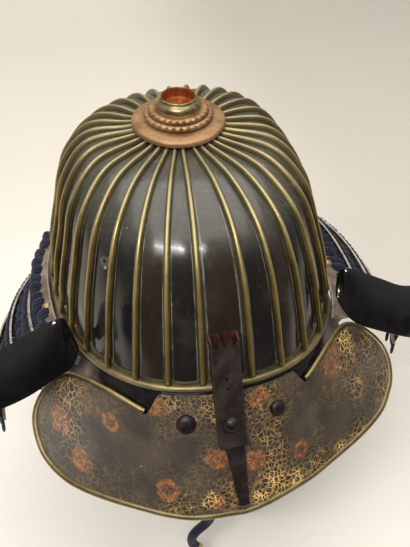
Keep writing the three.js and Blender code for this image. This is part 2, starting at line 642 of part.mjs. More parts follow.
function lamePoint(row, azimuth, v, lift) {
  const back = smooth(75, 160, azimuth > 180 ? 360 - azimuth : Math.abs(azimuth));
  const hung = row === LAMES[0] ? 0 : 1;
  const across = Math.sin(radians(azimuth));
  const draw = 1 - hung * back * (GUARD.backDraw - GUARD.sideDraw * across);
  const out = (row.topOut + (row.footOut - row.topOut) * v) * draw;
  const drop = hung * back * (GUARD.backDrop * (row.topOut / 45) - GUARD.sideDrop * across);
  const rise = row.topRise + (row.footRise - row.topRise) * v - drop;
  const slope = Math.atan2(row.topRise - row.footRise, (row.footOut - row.topOut) * draw);
  const radius = rimRadius(azimuth) + out + lift * Math.sin(slope);
  const point = around(azimuth, radius, rise + lift * Math.cos(slope));
  const swing = row.sway * (hung + (1 - hung) * v);
  return point.applyAxisAngle(vec(0, -1, 0), radians(row.turn)).add(vec(swing, 0, 0));
}

// Round the back from one front end to the other.
const behind = (front, u) => front + u * (360 - 2 * front);

function addLames() {
  LAMES.forEach((row, k) => {
    const face = (lift) => (u, v) => lamePoint(row, behind(row.front, u), v, lift);
    add(`neck_lame_${k + 1}`, wall(LAME.steps, 1, false, face(LAME.wall), face(0)), 'lame');
  });
}

// The lacing hangs each lame from the one above: it lies on the upper lame's foot and behind the lower one's top.
function addLacing() {
  for (let k = 0; k + 1 < LAMES.length; k++) {
    const row = LAMES[k];
    const length = Math.hypot(row.footOut - row.topOut, row.footRise - row.topRise);
    const from = 1 - LACING.overlap / length;
    const low = LAME.wall + LACING.gap;
    const front = Math.max(row.front, LAMES[k + 1].front) + 1;
    const face = (lift) => (u, v) => lamePoint(row, behind(front, u), from + v * (1 - from), lift);
    add(`lacing_${k + 1}`, wall(LAME.steps, 1, false, face(low + LACING.wall), face(low)), 'silk');
  }
}

function addStuds() {
  const row = LAMES[0];
  const v = (STUD.out - row.topOut) / (row.footOut - row.topOut);
  for (const [name, azimuth] of [['neck_stud_left', STUD.azimuth], ['neck_stud_right', -STUD.azimuth]]) {
    const foot = lamePoint(row, azimuth, v, LAME.wall + 0.9);
    add(name, rivetGeometry(STUD.radius, 2.6, foot, lamePoint(row, azimuth, v, LAME.wall + 3)), 'gilt');
  }
}

function turnbackGeometry(changed) {
  const stations = TURNBACK.map((row, k) => changed[k] ?? row);
  const read = (edge, axis, place) => spline(stations.map((row) => row[edge][axis]), place);
  const columns = 16;
  const midline = (u, v) => {
    const place = u * (TURNBACK.length - 1);
    const blend = (axis) => read('top', axis, place) * (1 - v) + read('foot', axis, place) * v;
    return vec(blend(0), blend(1), blend(2));
  };
  const face = (lift) => (u, v) => {
    const step = 0.02;
    const along = midline(Math.min(u + step, 1), v).sub(midline(Math.max(u - step, 0), v));
    const down = midline(u, 1).sub(midline(u, 0));
    const bulge = 3 * Math.sin(Math.PI * v) * smooth(0.3, 0.6, u);
    return midline(u, v).addScaledVector(down.cross(along).normalize(), lift + bulge);
  };
  return wall(columns, 3, false, face(TURNBACK_WALL / 2), face(-TURNBACK_WALL / 2));
}

function addTurnbacks() {
  add('turnback_left', turnbackGeometry({}), 'lacquer');
  add('turnback_right', mirrored(turnbackGeometry(TURNBACK_RIGHT)), 'lacquer');
}

// ---- the chin cord ----

function cordGeometry(route, diameter) {
  const curve = new THREE.CatmullRomCurve3(route.map((p) => vec(...p)), false, 'centripetal');
  const section = new THREE.Shape();
  for (let k = 0; k < CORD.sides; k++) {
    const a = (k / CORD.sides) * 2 * Math.PI;
    const place = [(diameter / 2) * Math.cos(a), (diameter / 2) * Math.sin(a)];
    if (k === 0) section.moveTo(...place);
    else section.lineTo(...place);
  }
  const steps = Math.ceil(curve.getLength() / (2.4 * diameter));
  const cord = new THREE.ExtrudeGeometry(section, { steps, bevelEnabled: false, extrudePath: curve });
  cord.deleteAttribute('normal');
  cord.deleteAttribute('uv');
  return mergeVertices(cord, 1e-4);
}

function addChinCord() {
  add('chin_cord', cordGeometry(CHIN_LOOP, CORD.diameter), 'silk');
  const half = KNOT.length / 2;
  const knot = lathe([
    [KNOT.bore, -half], [KNOT.radius - 1.5, -half], [KNOT.radius, -half * 0.4], [KNOT.radius, half * 0.4],
    [KNOT.radius - 1.5, half], [KNOT.bore, half], [KNOT.bore, -half],
  ], 10);
  knot.rotateY(Math.PI / 2);
  knot.translate(KNOT.x, KNOT.y, KNOT.z);
  const end = toManifold(cordGeometry(FREE_END, CORD.diameter)).add(toManifold(knot));
  add('chin_cord_end', fromManifold(end), 'silk');
}

addBowl();
addRibs();
addBorderStrip();
addRimEdge();
addWaistBand();
addCrown();
addPeak();
addPeakRivets();
addHolder();
addLames();
addLacing();
addStuds();
addTurnbacks();
addChinCord();

export default root;
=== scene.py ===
"""Dresses the kabuto: lacquered plates, brass ribs, printed leather peak, laced neck guard, chin cord."""
import math

import bpy
import numpy as np
from mathutils import Matrix


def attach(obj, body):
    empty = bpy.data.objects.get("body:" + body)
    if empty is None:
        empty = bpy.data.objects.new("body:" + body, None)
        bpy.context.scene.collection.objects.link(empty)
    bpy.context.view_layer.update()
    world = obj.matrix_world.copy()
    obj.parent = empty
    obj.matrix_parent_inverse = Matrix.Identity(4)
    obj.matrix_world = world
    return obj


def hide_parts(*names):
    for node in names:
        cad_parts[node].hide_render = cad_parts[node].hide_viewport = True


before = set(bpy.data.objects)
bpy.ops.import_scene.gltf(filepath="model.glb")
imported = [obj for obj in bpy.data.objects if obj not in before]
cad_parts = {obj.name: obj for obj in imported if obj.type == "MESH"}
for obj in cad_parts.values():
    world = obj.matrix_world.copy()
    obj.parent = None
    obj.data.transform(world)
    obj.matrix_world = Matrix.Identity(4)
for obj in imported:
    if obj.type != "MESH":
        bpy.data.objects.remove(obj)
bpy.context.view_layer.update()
MM = 0.001
scene = bpy.context.scene
scene.view_settings.view_transform = "Standard"
scene.view_settings.look = "None"


# ---- numbers shared with the solids, in millimetres and degrees ----

RIM = {"side": 107.5, "front": 143.0, "back": 129.0, "exponent": 2.36}
# The dome's meridians: side reach, side rise, front reach, front rise, back reach, back rise, shift.
DOME = [
    [107.5, 0, 143, 0, 129, 0, 0],
    [104.3, 28, 134.8, 36, 131.8, 35.5, 0.5],
    [97.9, 56.5, 125, 71, 121.9, 71.5, 1.9],
    [89.8, 89.8, 105, 101, 98.8, 102.5, 3.7],
    [69.5, 117, 73, 117, 68, 122.4, 5.5],
    [35.5, 122.6, 38, 120.4, 33.5, 122.9, 7],
    [6, 124, 6, 121.6, 6, 122, 7.4],
]
DOME_LEAN = 2.5
PLATE_WALL = 2.4
PER_SIDE = 16
FRONT_HALF_GAP = 17.8
RIB_HALF_WIDTH = 2.3
RIB_HEIGHT = 3.9
WAIST_DEPTH = 30
CROWN = {"tilt": 4.1, "back": 7.4, "rise": 129.7, "bore": 11.7}
VISOR_TIP = 51.1
NOTCH = 23.2
RIVET_TURN = 12.1
RIVET_DOWN = 20.6
# The peak's outlines: azimuth, and distance down its slope.
VISOR_LOWER = np.array([
    [0, 88], [10, 85], [20, 81.4], [30, 77.4], [38, 74], [43, 70], [46.5, 63], [49.3, 53.5], [50.7, 43],
    [51.1, 33],
])
VISOR_UPPER = np.array([
    [0, 0.8], [19.3, 0.8], [22.8, 13.4], [25, 12], [30, 9], [35, 7.8], [40, 8.6], [45, 11.4], [48.2, 15],
    [50, 20], [50.9, 26], [51.1, 33],
])
# The crest holder's stations, mouth first: x, y, z, width, depth.
HOLDER = np.array([
    [-4, -143.4, 43, 20, 8.8],
    [-3.6, -150.8, 14, 19.8, 8.6],
    [-3.3, -157.8, -11, 19.8, 6.4],
    [-3, -168, -34.5, 19.6, 4.2],
])
HOLDER_WALL = 1.2
STUD = {"azimuth": 81, "out": 8.1, "radius": 3.9, "height": 2.4}
CORD_RING = {"azimuth": 45, "radius": 7, "wire": 1.2}
PEAK_PLATE = {"inset": 2.4, "wall": 1.5}
LEATHER = {"inset": 1.6, "top": 1.2, "under": 0.1}
EDGE_STRIP = {"half_width": 2.2, "half_height": 1.7, "lift": 0.3}
LAME_WALL = 1.5
LAME_BOW = 0.5
STRAND_RADIUS = 1.45
BUNDLE_PITCH = 13
LACE_PITCH = 3.6
TURNBACK_HALF_WALL = 0.8
TOOTH_DEPTH = 5.6
# Lames: top out, top rise, foot out, foot rise, front end, sway, turn.
LAMES = [
    (3, -5.5, 19, -14, 52, 4, 0),
    (24, -11, 33.5, -33, 59, 2, 1.8),
    (41.6, -26, 48, -52, 66, 1.6, 1.8),
    (56.4, -46, 61, -76, 70, 1.2, 1.8),
]
# Turned-back ends: top edge x, y, z and foot edge x, y, z, on the wearer's left.
TURNBACK = np.array([
    [103, -72, 9, 106, -77, 0],
    [98.5, -83, 18, 101, -91, 7],
    [96.4, -88, 35.7, 92, -100, 26.1],
    [97.5, -90.5, 42.8, 95.9, -107, 17.7],
    [104.3, -92.5, 44.4, 105.9, -112, 7.4],
    [130, -89, 28, 134, -112, -8],
    [150, -84, 14, 155, -108, -20],
    [170, -74, 2, 176, -98, -32],
    [181, -68, -8, 185, -86, -32],
], float)
# The stations that differ on the right, given for the left and mirrored.
TURNBACK_RIGHT = {
    1: [99.5, -83, 15, 102, -91, 4],
    2: [102.7, -88, 32.4, 96.8, -100, 15.5],
    3: [104.7, -90.5, 38.5, 103.3, -107, 7.2],
    4: [112, -92.5, 39.4, 116.6, -112, 3.1],
}
CHIN_SIDE = [
    (92, -91, -40), (92, -92, -52), (91, -93, -66), (89, -94.5, -82), (85, -96, -100), (79, -98, -118),
    (70, -100, -136), (59, -101.5, -151),
]
CHIN_LOOP = CHIN_SIDE + [
    (45, -103, -164), (30, -104, -173), (14, -104.5, -178), (-2, -105, -180), (-17, -104.5, -177.5),
    (-32, -104, -172), (-46, -103, -163),
] + [(-x, y, z) for x, y, z in CHIN_SIDE[::-1]]
FREE_END = [
    (-4.5, -104, -186.4), (-4.5, -104, -192), (-5.2, -104, -196), (-7.3, -104, -200), (-10.5, -104, -203.8),
    (-14.2, -104, -207.4), (-17.8, -104, -211.2), (-20.5, -104, -215.6), (-21.8, -104, -220.6),
    (-21.2, -104, -225.8), (-19, -104, -230.6), (-16, -104, -234.6),
]
CORD_TIP = [(-18.4, -104, -231.4), (-17.2, -104, -233), (-15.8, -104, -234.9)]
CORD = 8.4
KNOT = (-4.5, -105, -179.9)


# ---- numbers for the looks ----

# Marks on the plates: azimuth, level, radius, share, colour. Two pale scuffs, then two near-black discs that
# are painted shade in a pit and a hole.
PLATE_MARKS = [
    (-40.5, 2.34, 5.5, 0.4, (118, 112, 100)),
    (-39.8, 2.22, 1.6, 0.8, (160, 154, 140)),
    (-40.5, 2.34, 2.0, 1.0, (6, 6, 6)),
    (39.5, 2.34, 2.0, 1.0, (8, 8, 8)),
]
# Blossoms on the peak: azimuth, down the slope, radius, petals, strength, hollow.
BLOSSOMS = [
    (-43.8, 45, 8, 6, 0.5, False), (-31.8, 29, 6.4, 5, 0.75, True), (-36.1, 61.5, 7.4, 5, 0.65, False),
    (-16.5, 68, 8.6, 5, 0.75, True), (-4.9, 46.5, 8.4, 6, 0.75, False), (-5.4, 79, 5.2, 5, 0.75, False),
    (-20, 9, 8, 6, 0.55, False), (7.6, 9, 7.6, 5, 0.65, False), (3.9, 52.5, 8.2, 6, 0.7, False),
    (15.7, 56, 7, 5, 0.65, True), (34, 16, 11.5, 7, 0.42, False), (-27, 5, 6, 5, 0.4, False),
    (-38, 24, 7, 6, 0.25, False),
]
# Places on the leather: azimuth, down the slope, radius.
DENSE_PRINT = [
    (-46, 24, 24), (-42, 44, 16), (-16, 8, 18), (-5, 10, 24), (7, 14, 22), (8, 36, 18), (9, 54, 20),
    (-14, 80, 20), (-3, 74, 18), (8, 76, 24), (19, 74, 18), (31, 70, 12), (41, 20, 24), (47, 36, 14),
    (43, 60, 14), (36, 44, 12),
]
WORN_PRINT = [
    (-27, 44, 26), (-14, 40, 20), (-24, 26, 18), (-34, 36, 16), (18, 38, 20), (24, 22, 16), (28, 52, 20),
    (-22, 64, 16),
]
BRIGHT_PRINT = [
    (8, 71, 16), (13, 76, 12), (4, 80, 12), (26, 71.6, 8), (-7, 76, 9), (44, 14, 16), (-3, 16, 9),
]
# The camera: angles in radians, distance and target in metres, focal length in picture widths.
VIEW = {"yaw": -0.224925, "pitch": 0.648734, "roll": -0.012423, "distance": 0.706554, "focal": 850 / 410}
VIEW_TARGET = np.array([0.016818, 0, -0.012092])
SENSOR = 36
# Lights: name, place, width and height in metres, watts, colour, seen in gloss.
LIGHTS = [
    ("key", (-0.9, -1.2, 1.5), 0.9, 0.9, 19, (1, 0.97, 0.93), False),
    ("ceiling", (0.1, 0, 1.9), 2.8, 2.6, 46, (1, 0.98, 0.95), True),
    ("side", (1.5, -0.9, 0.9), 0.7, 0.7, 8, (1, 0.98, 0.96), False),
    ("glint", (-0.55, -1.29, 1.42), 0.95, 0.09, 22, (1, 1, 1), True),
]


# ---- camera ----

def stand(name, data, right, up, back, place):
    """Links a camera or a light, turned to its axes at its place."""
    obj = bpy.data.objects.new(name, data)
    scene.collection.objects.link(obj)
    rows = np.eye(4)
    rows[:3] = np.stack([right, up, back, place], 1)
    obj.matrix_world = Matrix(rows.tolist())
    return obj


def place_camera():
    """The camera looks from the wearer's right front, above."""
    yaw, pitch, roll = VIEW["yaw"], VIEW["pitch"], VIEW["roll"]
    back = np.array([math.sin(yaw) * math.cos(pitch), -math.cos(yaw) * math.cos(pitch), math.sin(pitch)])
    level = np.array([math.cos(yaw), math.sin(yaw), 0])
    upright = np.cross(back, level)
    right = math.cos(roll) * level + math.sin(roll) * upright
    up = -math.sin(roll) * level + math.cos(roll) * upright
    data = bpy.data.cameras.new("camera")
    data.sensor_fit = "HORIZONTAL"
    data.sensor_width = SENSOR
    data.lens = VIEW["focal"] * SENSOR
    data.clip_start = 0.05
    scene.camera = stand("camera", data, right, up, back, VIEW_TARGET + back * VIEW["distance"])


place_camera()


# ---- mesh helpers ----

def smooth(low, high, x):
    """Smoothstep: t*t*(3-2t) with t = (x-low)/(high-low) held in 0..1."""
    t = np.clip((np.asarray(x, float) - low) / (high - low), 0, 1)
    return t * t * (3 - 2 * t)


def unit(v):
    """Vectors divided by their lengths."""
    return v / np.maximum(np.linalg.norm(v, axis=-1, keepdims=True), 1e-9)


def grid(rows, columns):
    """Two grids of values, one for the rows and one for the columns."""
    return np.meshgrid(rows, columns, indexing="ij")


def circle(count):
    """Angles round a full turn, its end left out."""
    return np.arange(count) / count * 2 * math.pi


def all_round(count):
    """Azimuths from back to back round the front, the end left out."""
    return np.linspace(-180, 180, count + 1)[:-1]


def lengths(path):
    """The length along a path up to each of its points."""
    return np.concatenate([[0], np.cumsum(np.linalg.norm(np.diff(path, axis=0), axis=1))])


def through(rows, place):
    """Uniform Catmull-Rom through evenly spaced rows: a cubic with slope (next - previous) / 2 at each."""
    v = np.asarray(rows, float)
    place = np.asarray(place, float)
    ends = np.concatenate([[2 * v[0] - v[1]], v, [2 * v[-1] - v[-2]]])
    i = np.clip(np.floor(place).astype(int), 0, len(v) - 2)
    t = (place - i)[..., None]
    a, b, c, d = ends[i], ends[i + 1], ends[i + 2], ends[i + 3]
    return b + 0.5 * t * (c - a + t * (2 * a - 5 * b + 4 * c - d + t * (3 * (b - c) + d - a)))


def curve(points, per):
    """The same curve as a path, with per steps from each point to the next."""
    return through(points, np.arange((len(points) - 1) * per + 1) / per)


def mesh_object(name, points, faces, uv=None, sharp=40):
    """An object from points in millimetres and faces; uv is one pair a point."""
    mesh = bpy.data.meshes.new(name)
    mesh.from_pydata((np.asarray(points) * MM).tolist(), [], faces)
    mesh.validate()
    if uv is not None:
        layer = mesh.uv_layers.new(name="flat")
        index = np.empty(len(mesh.loops), np.int32)
        mesh.loops.foreach_get("vertex_index", index)
        layer.data.foreach_set("uv", np.asarray(uv, np.float32)[index].ravel())
    mesh.shade_smooth()
    mesh.set_sharp_from_angle(angle=math.radians(sharp))
    obj = bpy.data.objects.new(name, mesh)
    scene.collection.objects.link(obj)
    return obj


def grid_faces(rows, columns, wrap_rows=False, wrap_columns=False, start=0, flip=False):
    """Quads over a grid of points stored row by row."""
    i, j = grid(range(rows if wrap_rows else rows - 1), range(columns if wrap_columns else columns - 1))
    below, beside = (i + 1) % rows, (j + 1) % columns
    corners = [i * columns + j, below * columns + j, below * columns + beside, i * columns + beside]
    if flip:
        corners = [corners[k] for k in (0, 3, 2, 1)]
    return (start + np.stack(corners, -1)).reshape(-1, 4).tolist()


def shell(name, outer, inner, wrap=False, uv=None, sharp=40):
    """A closed wall between two grids of points."""
    m, n = outer.shape[:2]
    half = m * n
    faces = grid_faces(m, n, wrap) + grid_faces(m, n, wrap, start=half, flip=True)
    for i in range(m if wrap else m - 1):
        k = (i + 1) % m
        first, last = i * n, k * n
        faces.append((first, half + first, half + last, last))
        faces.append((first + n - 1, last + n - 1, half + last + n - 1, half + first + n - 1))
    if not wrap:
        end = half - n
        for j in range(n - 1):
            faces.append((j, j + 1, half + j + 1, half + j))
            faces.append((end + j, half + end + j, half + end + j + 1, end + j + 1))
    points = np.concatenate([outer.reshape(-1, 3), inner.reshape(-1, 3)])
    both = None if uv is None else np.concatenate([uv.reshape(-1, 2)] * 2)
    return mesh_object(name, points, faces, both, sharp)


def bar(rings, hoop=False, start=0):
    """Points, faces and flat places of a closed bar through rings (rings, sides, 3), a hoop or capped."""
    m, n = rings.shape[:2]
    faces = grid_faces(m, n, hoop, True, start)
    if not hoop:
        end = start + (m - 1) * n
        faces += [tuple(range(start, start + n)), tuple(range(end + n - 1, end - 1, -1))]
    along = lengths(rings.mean(1))[:, None] * MM
    flat = np.stack(np.broadcast_arrays(along, np.arange(n) / n), -1)
    return rings.reshape(-1, 3), faces, flat.reshape(-1, 2)


def sweep(name, rings, hoop=False, sharp=40):
    """An object from one bar."""
    points, faces, flat = bar(rings, hoop)
    return mesh_object(name, points, faces, flat, sharp)


def lathe(name, profile, steps, place, sharp=35, bead=None):
    """A profile of (radius, height) turned about Z; place moves the points; bead swells it round the turn."""
    radius, height = np.array(profile, float).T
    turn = circle(steps)[:, None]
    if bead:
        radius, height = bead(turn, radius, height)
    points = np.stack(np.broadcast_arrays(radius * np.cos(turn), radius * np.sin(turn), height), -1)
    faces = grid_faces(steps, len(profile), True, True)
    return mesh_object(name, place(points.reshape(-1, 3)), faces, None, sharp)


def round_rings(path, radius, sides):
    """Rings of a round bar along a path, whose two normals are carried along without twist."""
    along = unit(np.gradient(path, axis=0))
    first = np.cross(along[0], [0, 0, 1.0] if abs(along[0][2]) < 0.8 else [1.0, 0, 0])
    across = [unit(first)]
    for t in along[1:]:
        across.append(unit(across[-1] - t * np.dot(across[-1], t)))
    across = np.array(across)
    up = np.cross(along, across)
    turn = circle(sides)[None, :, None]
    reach = np.broadcast_to(radius, (len(path),))[:, None, None]
    return path[:, None] + reach * (np.cos(turn) * across[:, None] + np.sin(turn) * up[:, None])


def many_tubes(name, paths, radius, sides):
    """Many round bars with drawn-in ends in one mesh."""
    points, faces, flats = [], [], []
    start = 0
    for path in paths:
        reach = np.full(len(path), radius)
        reach[[0, -1]] *= 0.55
        some, quads, flat = bar(round_rings(path, reach, sides), start=start)
        points.append(some)
        faces += quads
        flats.append(flat)
        start += len(some)
    return mesh_object(name, np.concatenate(points), faces, np.concatenate(flats), 60)


def finish_piece(obj, material, *replaced):
    """Gives a piece its material, its body and the solids it stands for."""
    obj.data.materials.clear()
    obj.data.materials.append(material)
    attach(obj, "root")
    if replaced:
        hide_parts(*replaced)
    return obj


# ---- shared forms ----

def oval_radius(azimuth, side, end):
    """Superellipse: (|sin a / side|^e + |cos a / end|^e)^(-1/e)."""
    a = np.radians(azimuth)
    e = RIM["exponent"]
    return (np.abs(np.sin(a) / side) ** e + np.abs(np.cos(a) / end) ** e) ** (-1 / e)


def rim_radius(azimuth):
    """The rim's radius, longer in front than at the back."""
    end = np.where(np.cos(np.radians(azimuth)) > 0, RIM["front"], RIM["back"])
    return oval_radius(azimuth, RIM["side"], end)


def around(azimuth, radius, z):
    """A point at an azimuth from the front, positive to the wearer's left."""
    a = np.radians(azimuth)
    return np.stack(np.broadcast_arrays(radius * np.sin(a), -radius * np.cos(a), z), -1)


def chart(rows, azimuth):
    """Monotone cubic through (azimuth, value) rows; its slopes are harmonic means of the chords' slopes."""
    x, y = rows[:, 0], rows[:, 1]
    a = np.clip(np.abs(azimuth), 0, x[-1])
    chord = np.diff(y) / np.diff(x)
    slope = np.concatenate([[chord[0]], np.zeros(len(x) - 2), [chord[-1]]])
    p, q = chord[:-1], chord[1:]
    slope[1:-1] = np.where(p * q > 0, 2 * p * q / np.where(p * q > 0, p + q, 1), 0)
    i = np.clip(np.searchsorted(x, a, side="right") - 1, 0, len(x) - 2)
    h = x[i + 1] - x[i]
    t = (a - x[i]) / h
    return ((2 * t**3 - 3 * t**2 + 1) * y[i] + (t**3 - 2 * t**2 + t) * h * slope[i]
            + (3 * t**2 - 2 * t**3) * y[i + 1] + (t**3 - t**2) * h * slope[i + 1])


def dome_skin(azimuth, level):
    """The bowl's outer form at an azimuth and a level from rim 0 to crown 6.

    Each level is a superellipse through the meridians. Its rise goes from the side's to the front's or
    back's by cos squared of the azimuth, with a slight lean high up at the back.
    """
    azimuth, level = np.broadcast_arrays(np.asarray(azimuth, float), np.asarray(level, float))
    side, side_rise, front, front_rise, back, back_rise, shift = np.moveaxis(through(DOME, level), -1, 0)
    ahead = np.cos(np.radians(azimuth)) > 0
    share = np.cos(np.radians(azimuth)) ** 2
    lean = np.where(ahead, 0, smooth(2, 4.2, level) * (1 - smooth(4.6, 5.3, level)))
    rise = (side_rise * (1 - share) + np.where(ahead, front_rise, back_rise) * share
            - DOME_LEAN * lean * np.sin(np.radians(2 * azimuth)))
    point = around(azimuth, oval_radius(azimuth, side, np.where(ahead, front, back)), rise)
    point[..., 1] += shift
    return point


def dome_point(azimuth, level, offset):
    """The dome's skin moved out along its own normal."""
    azimuth, level, offset = np.broadcast_arrays(*[np.asarray(v, float) for v in (azimuth, level, offset)])
    low = np.clip(level, 0, 4.98)
    along = dome_skin(azimuth + 0.5, low) - dome_skin(azimuth - 0.5, low)
    up = dome_skin(azimuth, low + 0.01) - dome_skin(azimuth, np.maximum(low - 0.01, 0))
    return dome_skin(azimuth, level) + unit(np.cross(along, up)) * offset[..., None]


def plate_depth(level):
    """How deep the plates lie under the dome's form: 3 mm, and up to 1 mm more in the first level."""
    return -3 - np.maximum(0, 1 - np.asarray(level, float))


def rib_azimuths():
    """Azimuths of the ribs on one side, at equal steps of rim length."""
    a = np.arange(0, 180.05, 0.1)
    length = lengths(around(a, rim_radius(a), 0))
    step = (length[-1] - FRONT_HALF_GAP) / (PER_SIDE - 0.5)
    return np.interp(FRONT_HALF_GAP + step * np.arange(PER_SIDE), length, a)


RIBS = rib_azimuths()


def slope_point(azimuth, reach, start, slope, down, lift):
    """A band from beside the rim, out and down at a slope, moved along its normal by lift."""
    a = np.radians(slope)
    radius = rim_radius(azimuth) + reach + down * np.cos(a) + lift * np.sin(a)
    return around(azimuth, radius, start - down * np.sin(a) + lift * np.cos(a))


def visor_point(azimuth, down, lift):
    """The peak's surface: 60 degrees down in front, eased by smoothstep to 8 at the sides."""
    slope = 60 - 52 * smooth(20, 66, np.abs(azimuth))
    return slope_point(azimuth, 2, -3.4, slope, down, lift)


def visor_edge(edge, azimuth):
    """Down the slope to the peak's upper or lower outline, with its slight lean to one side."""
    size, side = np.abs(azimuth), np.sign(azimuth)
    if edge == "lower":
        fade = np.where(side < 0, 1 - smooth(36, 48, size), 1 + 0.6 * smooth(38, 43, size))
        return chart(VISOR_LOWER, size) - 3.4 * side * smooth(0, 13, size) * fade
    return chart(VISOR_UPPER, size) - 1.5 * side * smooth(20, NOTCH, size)


def flat_place(azimuth, down):
    """The leather laid flat, in metres: azimuth times a radius that grows down the slope, and down."""
    return np.stack(np.broadcast_arrays(np.radians(azimuth) * (132 + 0.62 * down), down), -1) * MM


def waist_point(azimuth, down, lift):
    """The band under the rim: 62 degrees down in front, eased by smoothstep to 76 behind."""
    slope = 62 + 14 * smooth(40, 100, np.abs(azimuth))
    return slope_point(azimuth, -0.4, -4.2, slope, down, lift)


def behind(front, u):
    """Round the back from one front end to the other."""
    return front + u * (360 - 2 * front)


def lame_point(k, azimuth, v, lift):
    """A lame's surface: v from its upper edge 0 to its foot 1; azimuth runs round the back.

    Straight from edge to foot outside the rim, drawn in and let down round the back by smoothstep,
    then turned about Y and moved sideways.
    """
    top_out, top_rise, foot_out, foot_rise, _, sway, turn = LAMES[k]
    azimuth, v = np.broadcast_arrays(np.asarray(azimuth, float), np.asarray(v, float))
    back = smooth(75, 160, np.where(azimuth > 180, 360 - azimuth, np.abs(azimuth)))
    hung = 0 if k == 0 else 1
    across = np.sin(np.radians(azimuth))
    draw = 1 - hung * back * (0.22 - 0.34 * across)
    out = (top_out + (foot_out - top_out) * v) * draw
    drop = hung * back * (12 * top_out / 45 - 8 * across)
    rise = top_rise + (foot_rise - top_rise) * v - drop
    slope = np.arctan2(top_rise - foot_rise, (foot_out - top_out) * draw)
    p = around(azimuth, rim_radius(azimuth) + out + lift * np.sin(slope), rise + lift * np.cos(slope))
    t = math.radians(turn)
    x = p[..., 0] * math.cos(t) - p[..., 2] * math.sin(t) + sway * (hung + (1 - hung) * v)
    z = p[..., 0] * math.sin(t) + p[..., 2] * math.cos(t)
    return np.stack([x, p[..., 1], z], -1)


# ---- material helpers ----

def srgb(r, g, b, scale=1.0):
    """Linear RGBA from 0..255 display values, dimmed by a scale."""
    c = np.array([r, g, b]) / 255
    linear = np.where(c <= 0.04045, c / 12.92, ((c + 0.055) / 1.055) ** 2.4) * scale
    return (*(float(v) for v in linear), 1.0)


class Nodes:
    """A node tree built up node by node."""

    def __init__(self, tree):
        self.tree = tree

    def node(self, kind, inputs=(), **settings):
        """A node with its inputs set or linked."""
        made = self.tree.nodes.new("ShaderNode" + kind)
        for key, value in settings.items():
            setattr(made, key, value)
        for key, value in dict(inputs).items():
            if isinstance(value, bpy.types.NodeSocket):
                self.tree.links.new(value, made.inputs[key])
            elif value is not None:
                made.inputs[key].default_value = value
        return made

    def math(self, operation, a, b=None, clamp=False):
        """A Math node."""
        return self.node("Math", {0: a, 1: b}, operation=operation, use_clamp=clamp).outputs[0]

    def times(self, a, b):
        """The product of two values."""
        return self.math("MULTIPLY", a, b)

    def plus(self, a, b):
        """The sum of two values."""
        return self.math("ADD", a, b)

    def minus(self, a, b):
        """The first value less the second."""
        return self.math("SUBTRACT", a, b)

    def size(self, a):
        """A value without its sign."""
        return self.math("ABSOLUTE", a)

    def largest(self, masks):
        """The largest of several values."""
        whole = masks[0]
        for mask in masks[1:]:
            whole = self.math("MAXIMUM", whole, mask)
        return whole

    def line(self, x, gain, start):
        """A value times a gain, plus a start."""
        return self.plus(self.times(x, gain), start)

    def step(self, x, low, high, first=0.0, last=1.0):
        """A smooth step from first to last between two values."""
        inputs = {0: x, 1: low, 2: high, 3: first, 4: last}
        return self.node("MapRange", inputs, interpolation_type="SMOOTHSTEP").outputs[0]

    def fall(self, x, low, high):
        """A smooth step down from 1 to 0."""
        return self.step(x, low, high, 1.0, 0.0)

    def vector(self, operation, a, b=None):
        """A vector node's outputs."""
        return self.node("VectorMath", {0: a, 1: b}, operation=operation).outputs

    def split(self, vector):
        """A vector's three parts."""
        return self.node("SeparateXYZ", {0: vector}).outputs


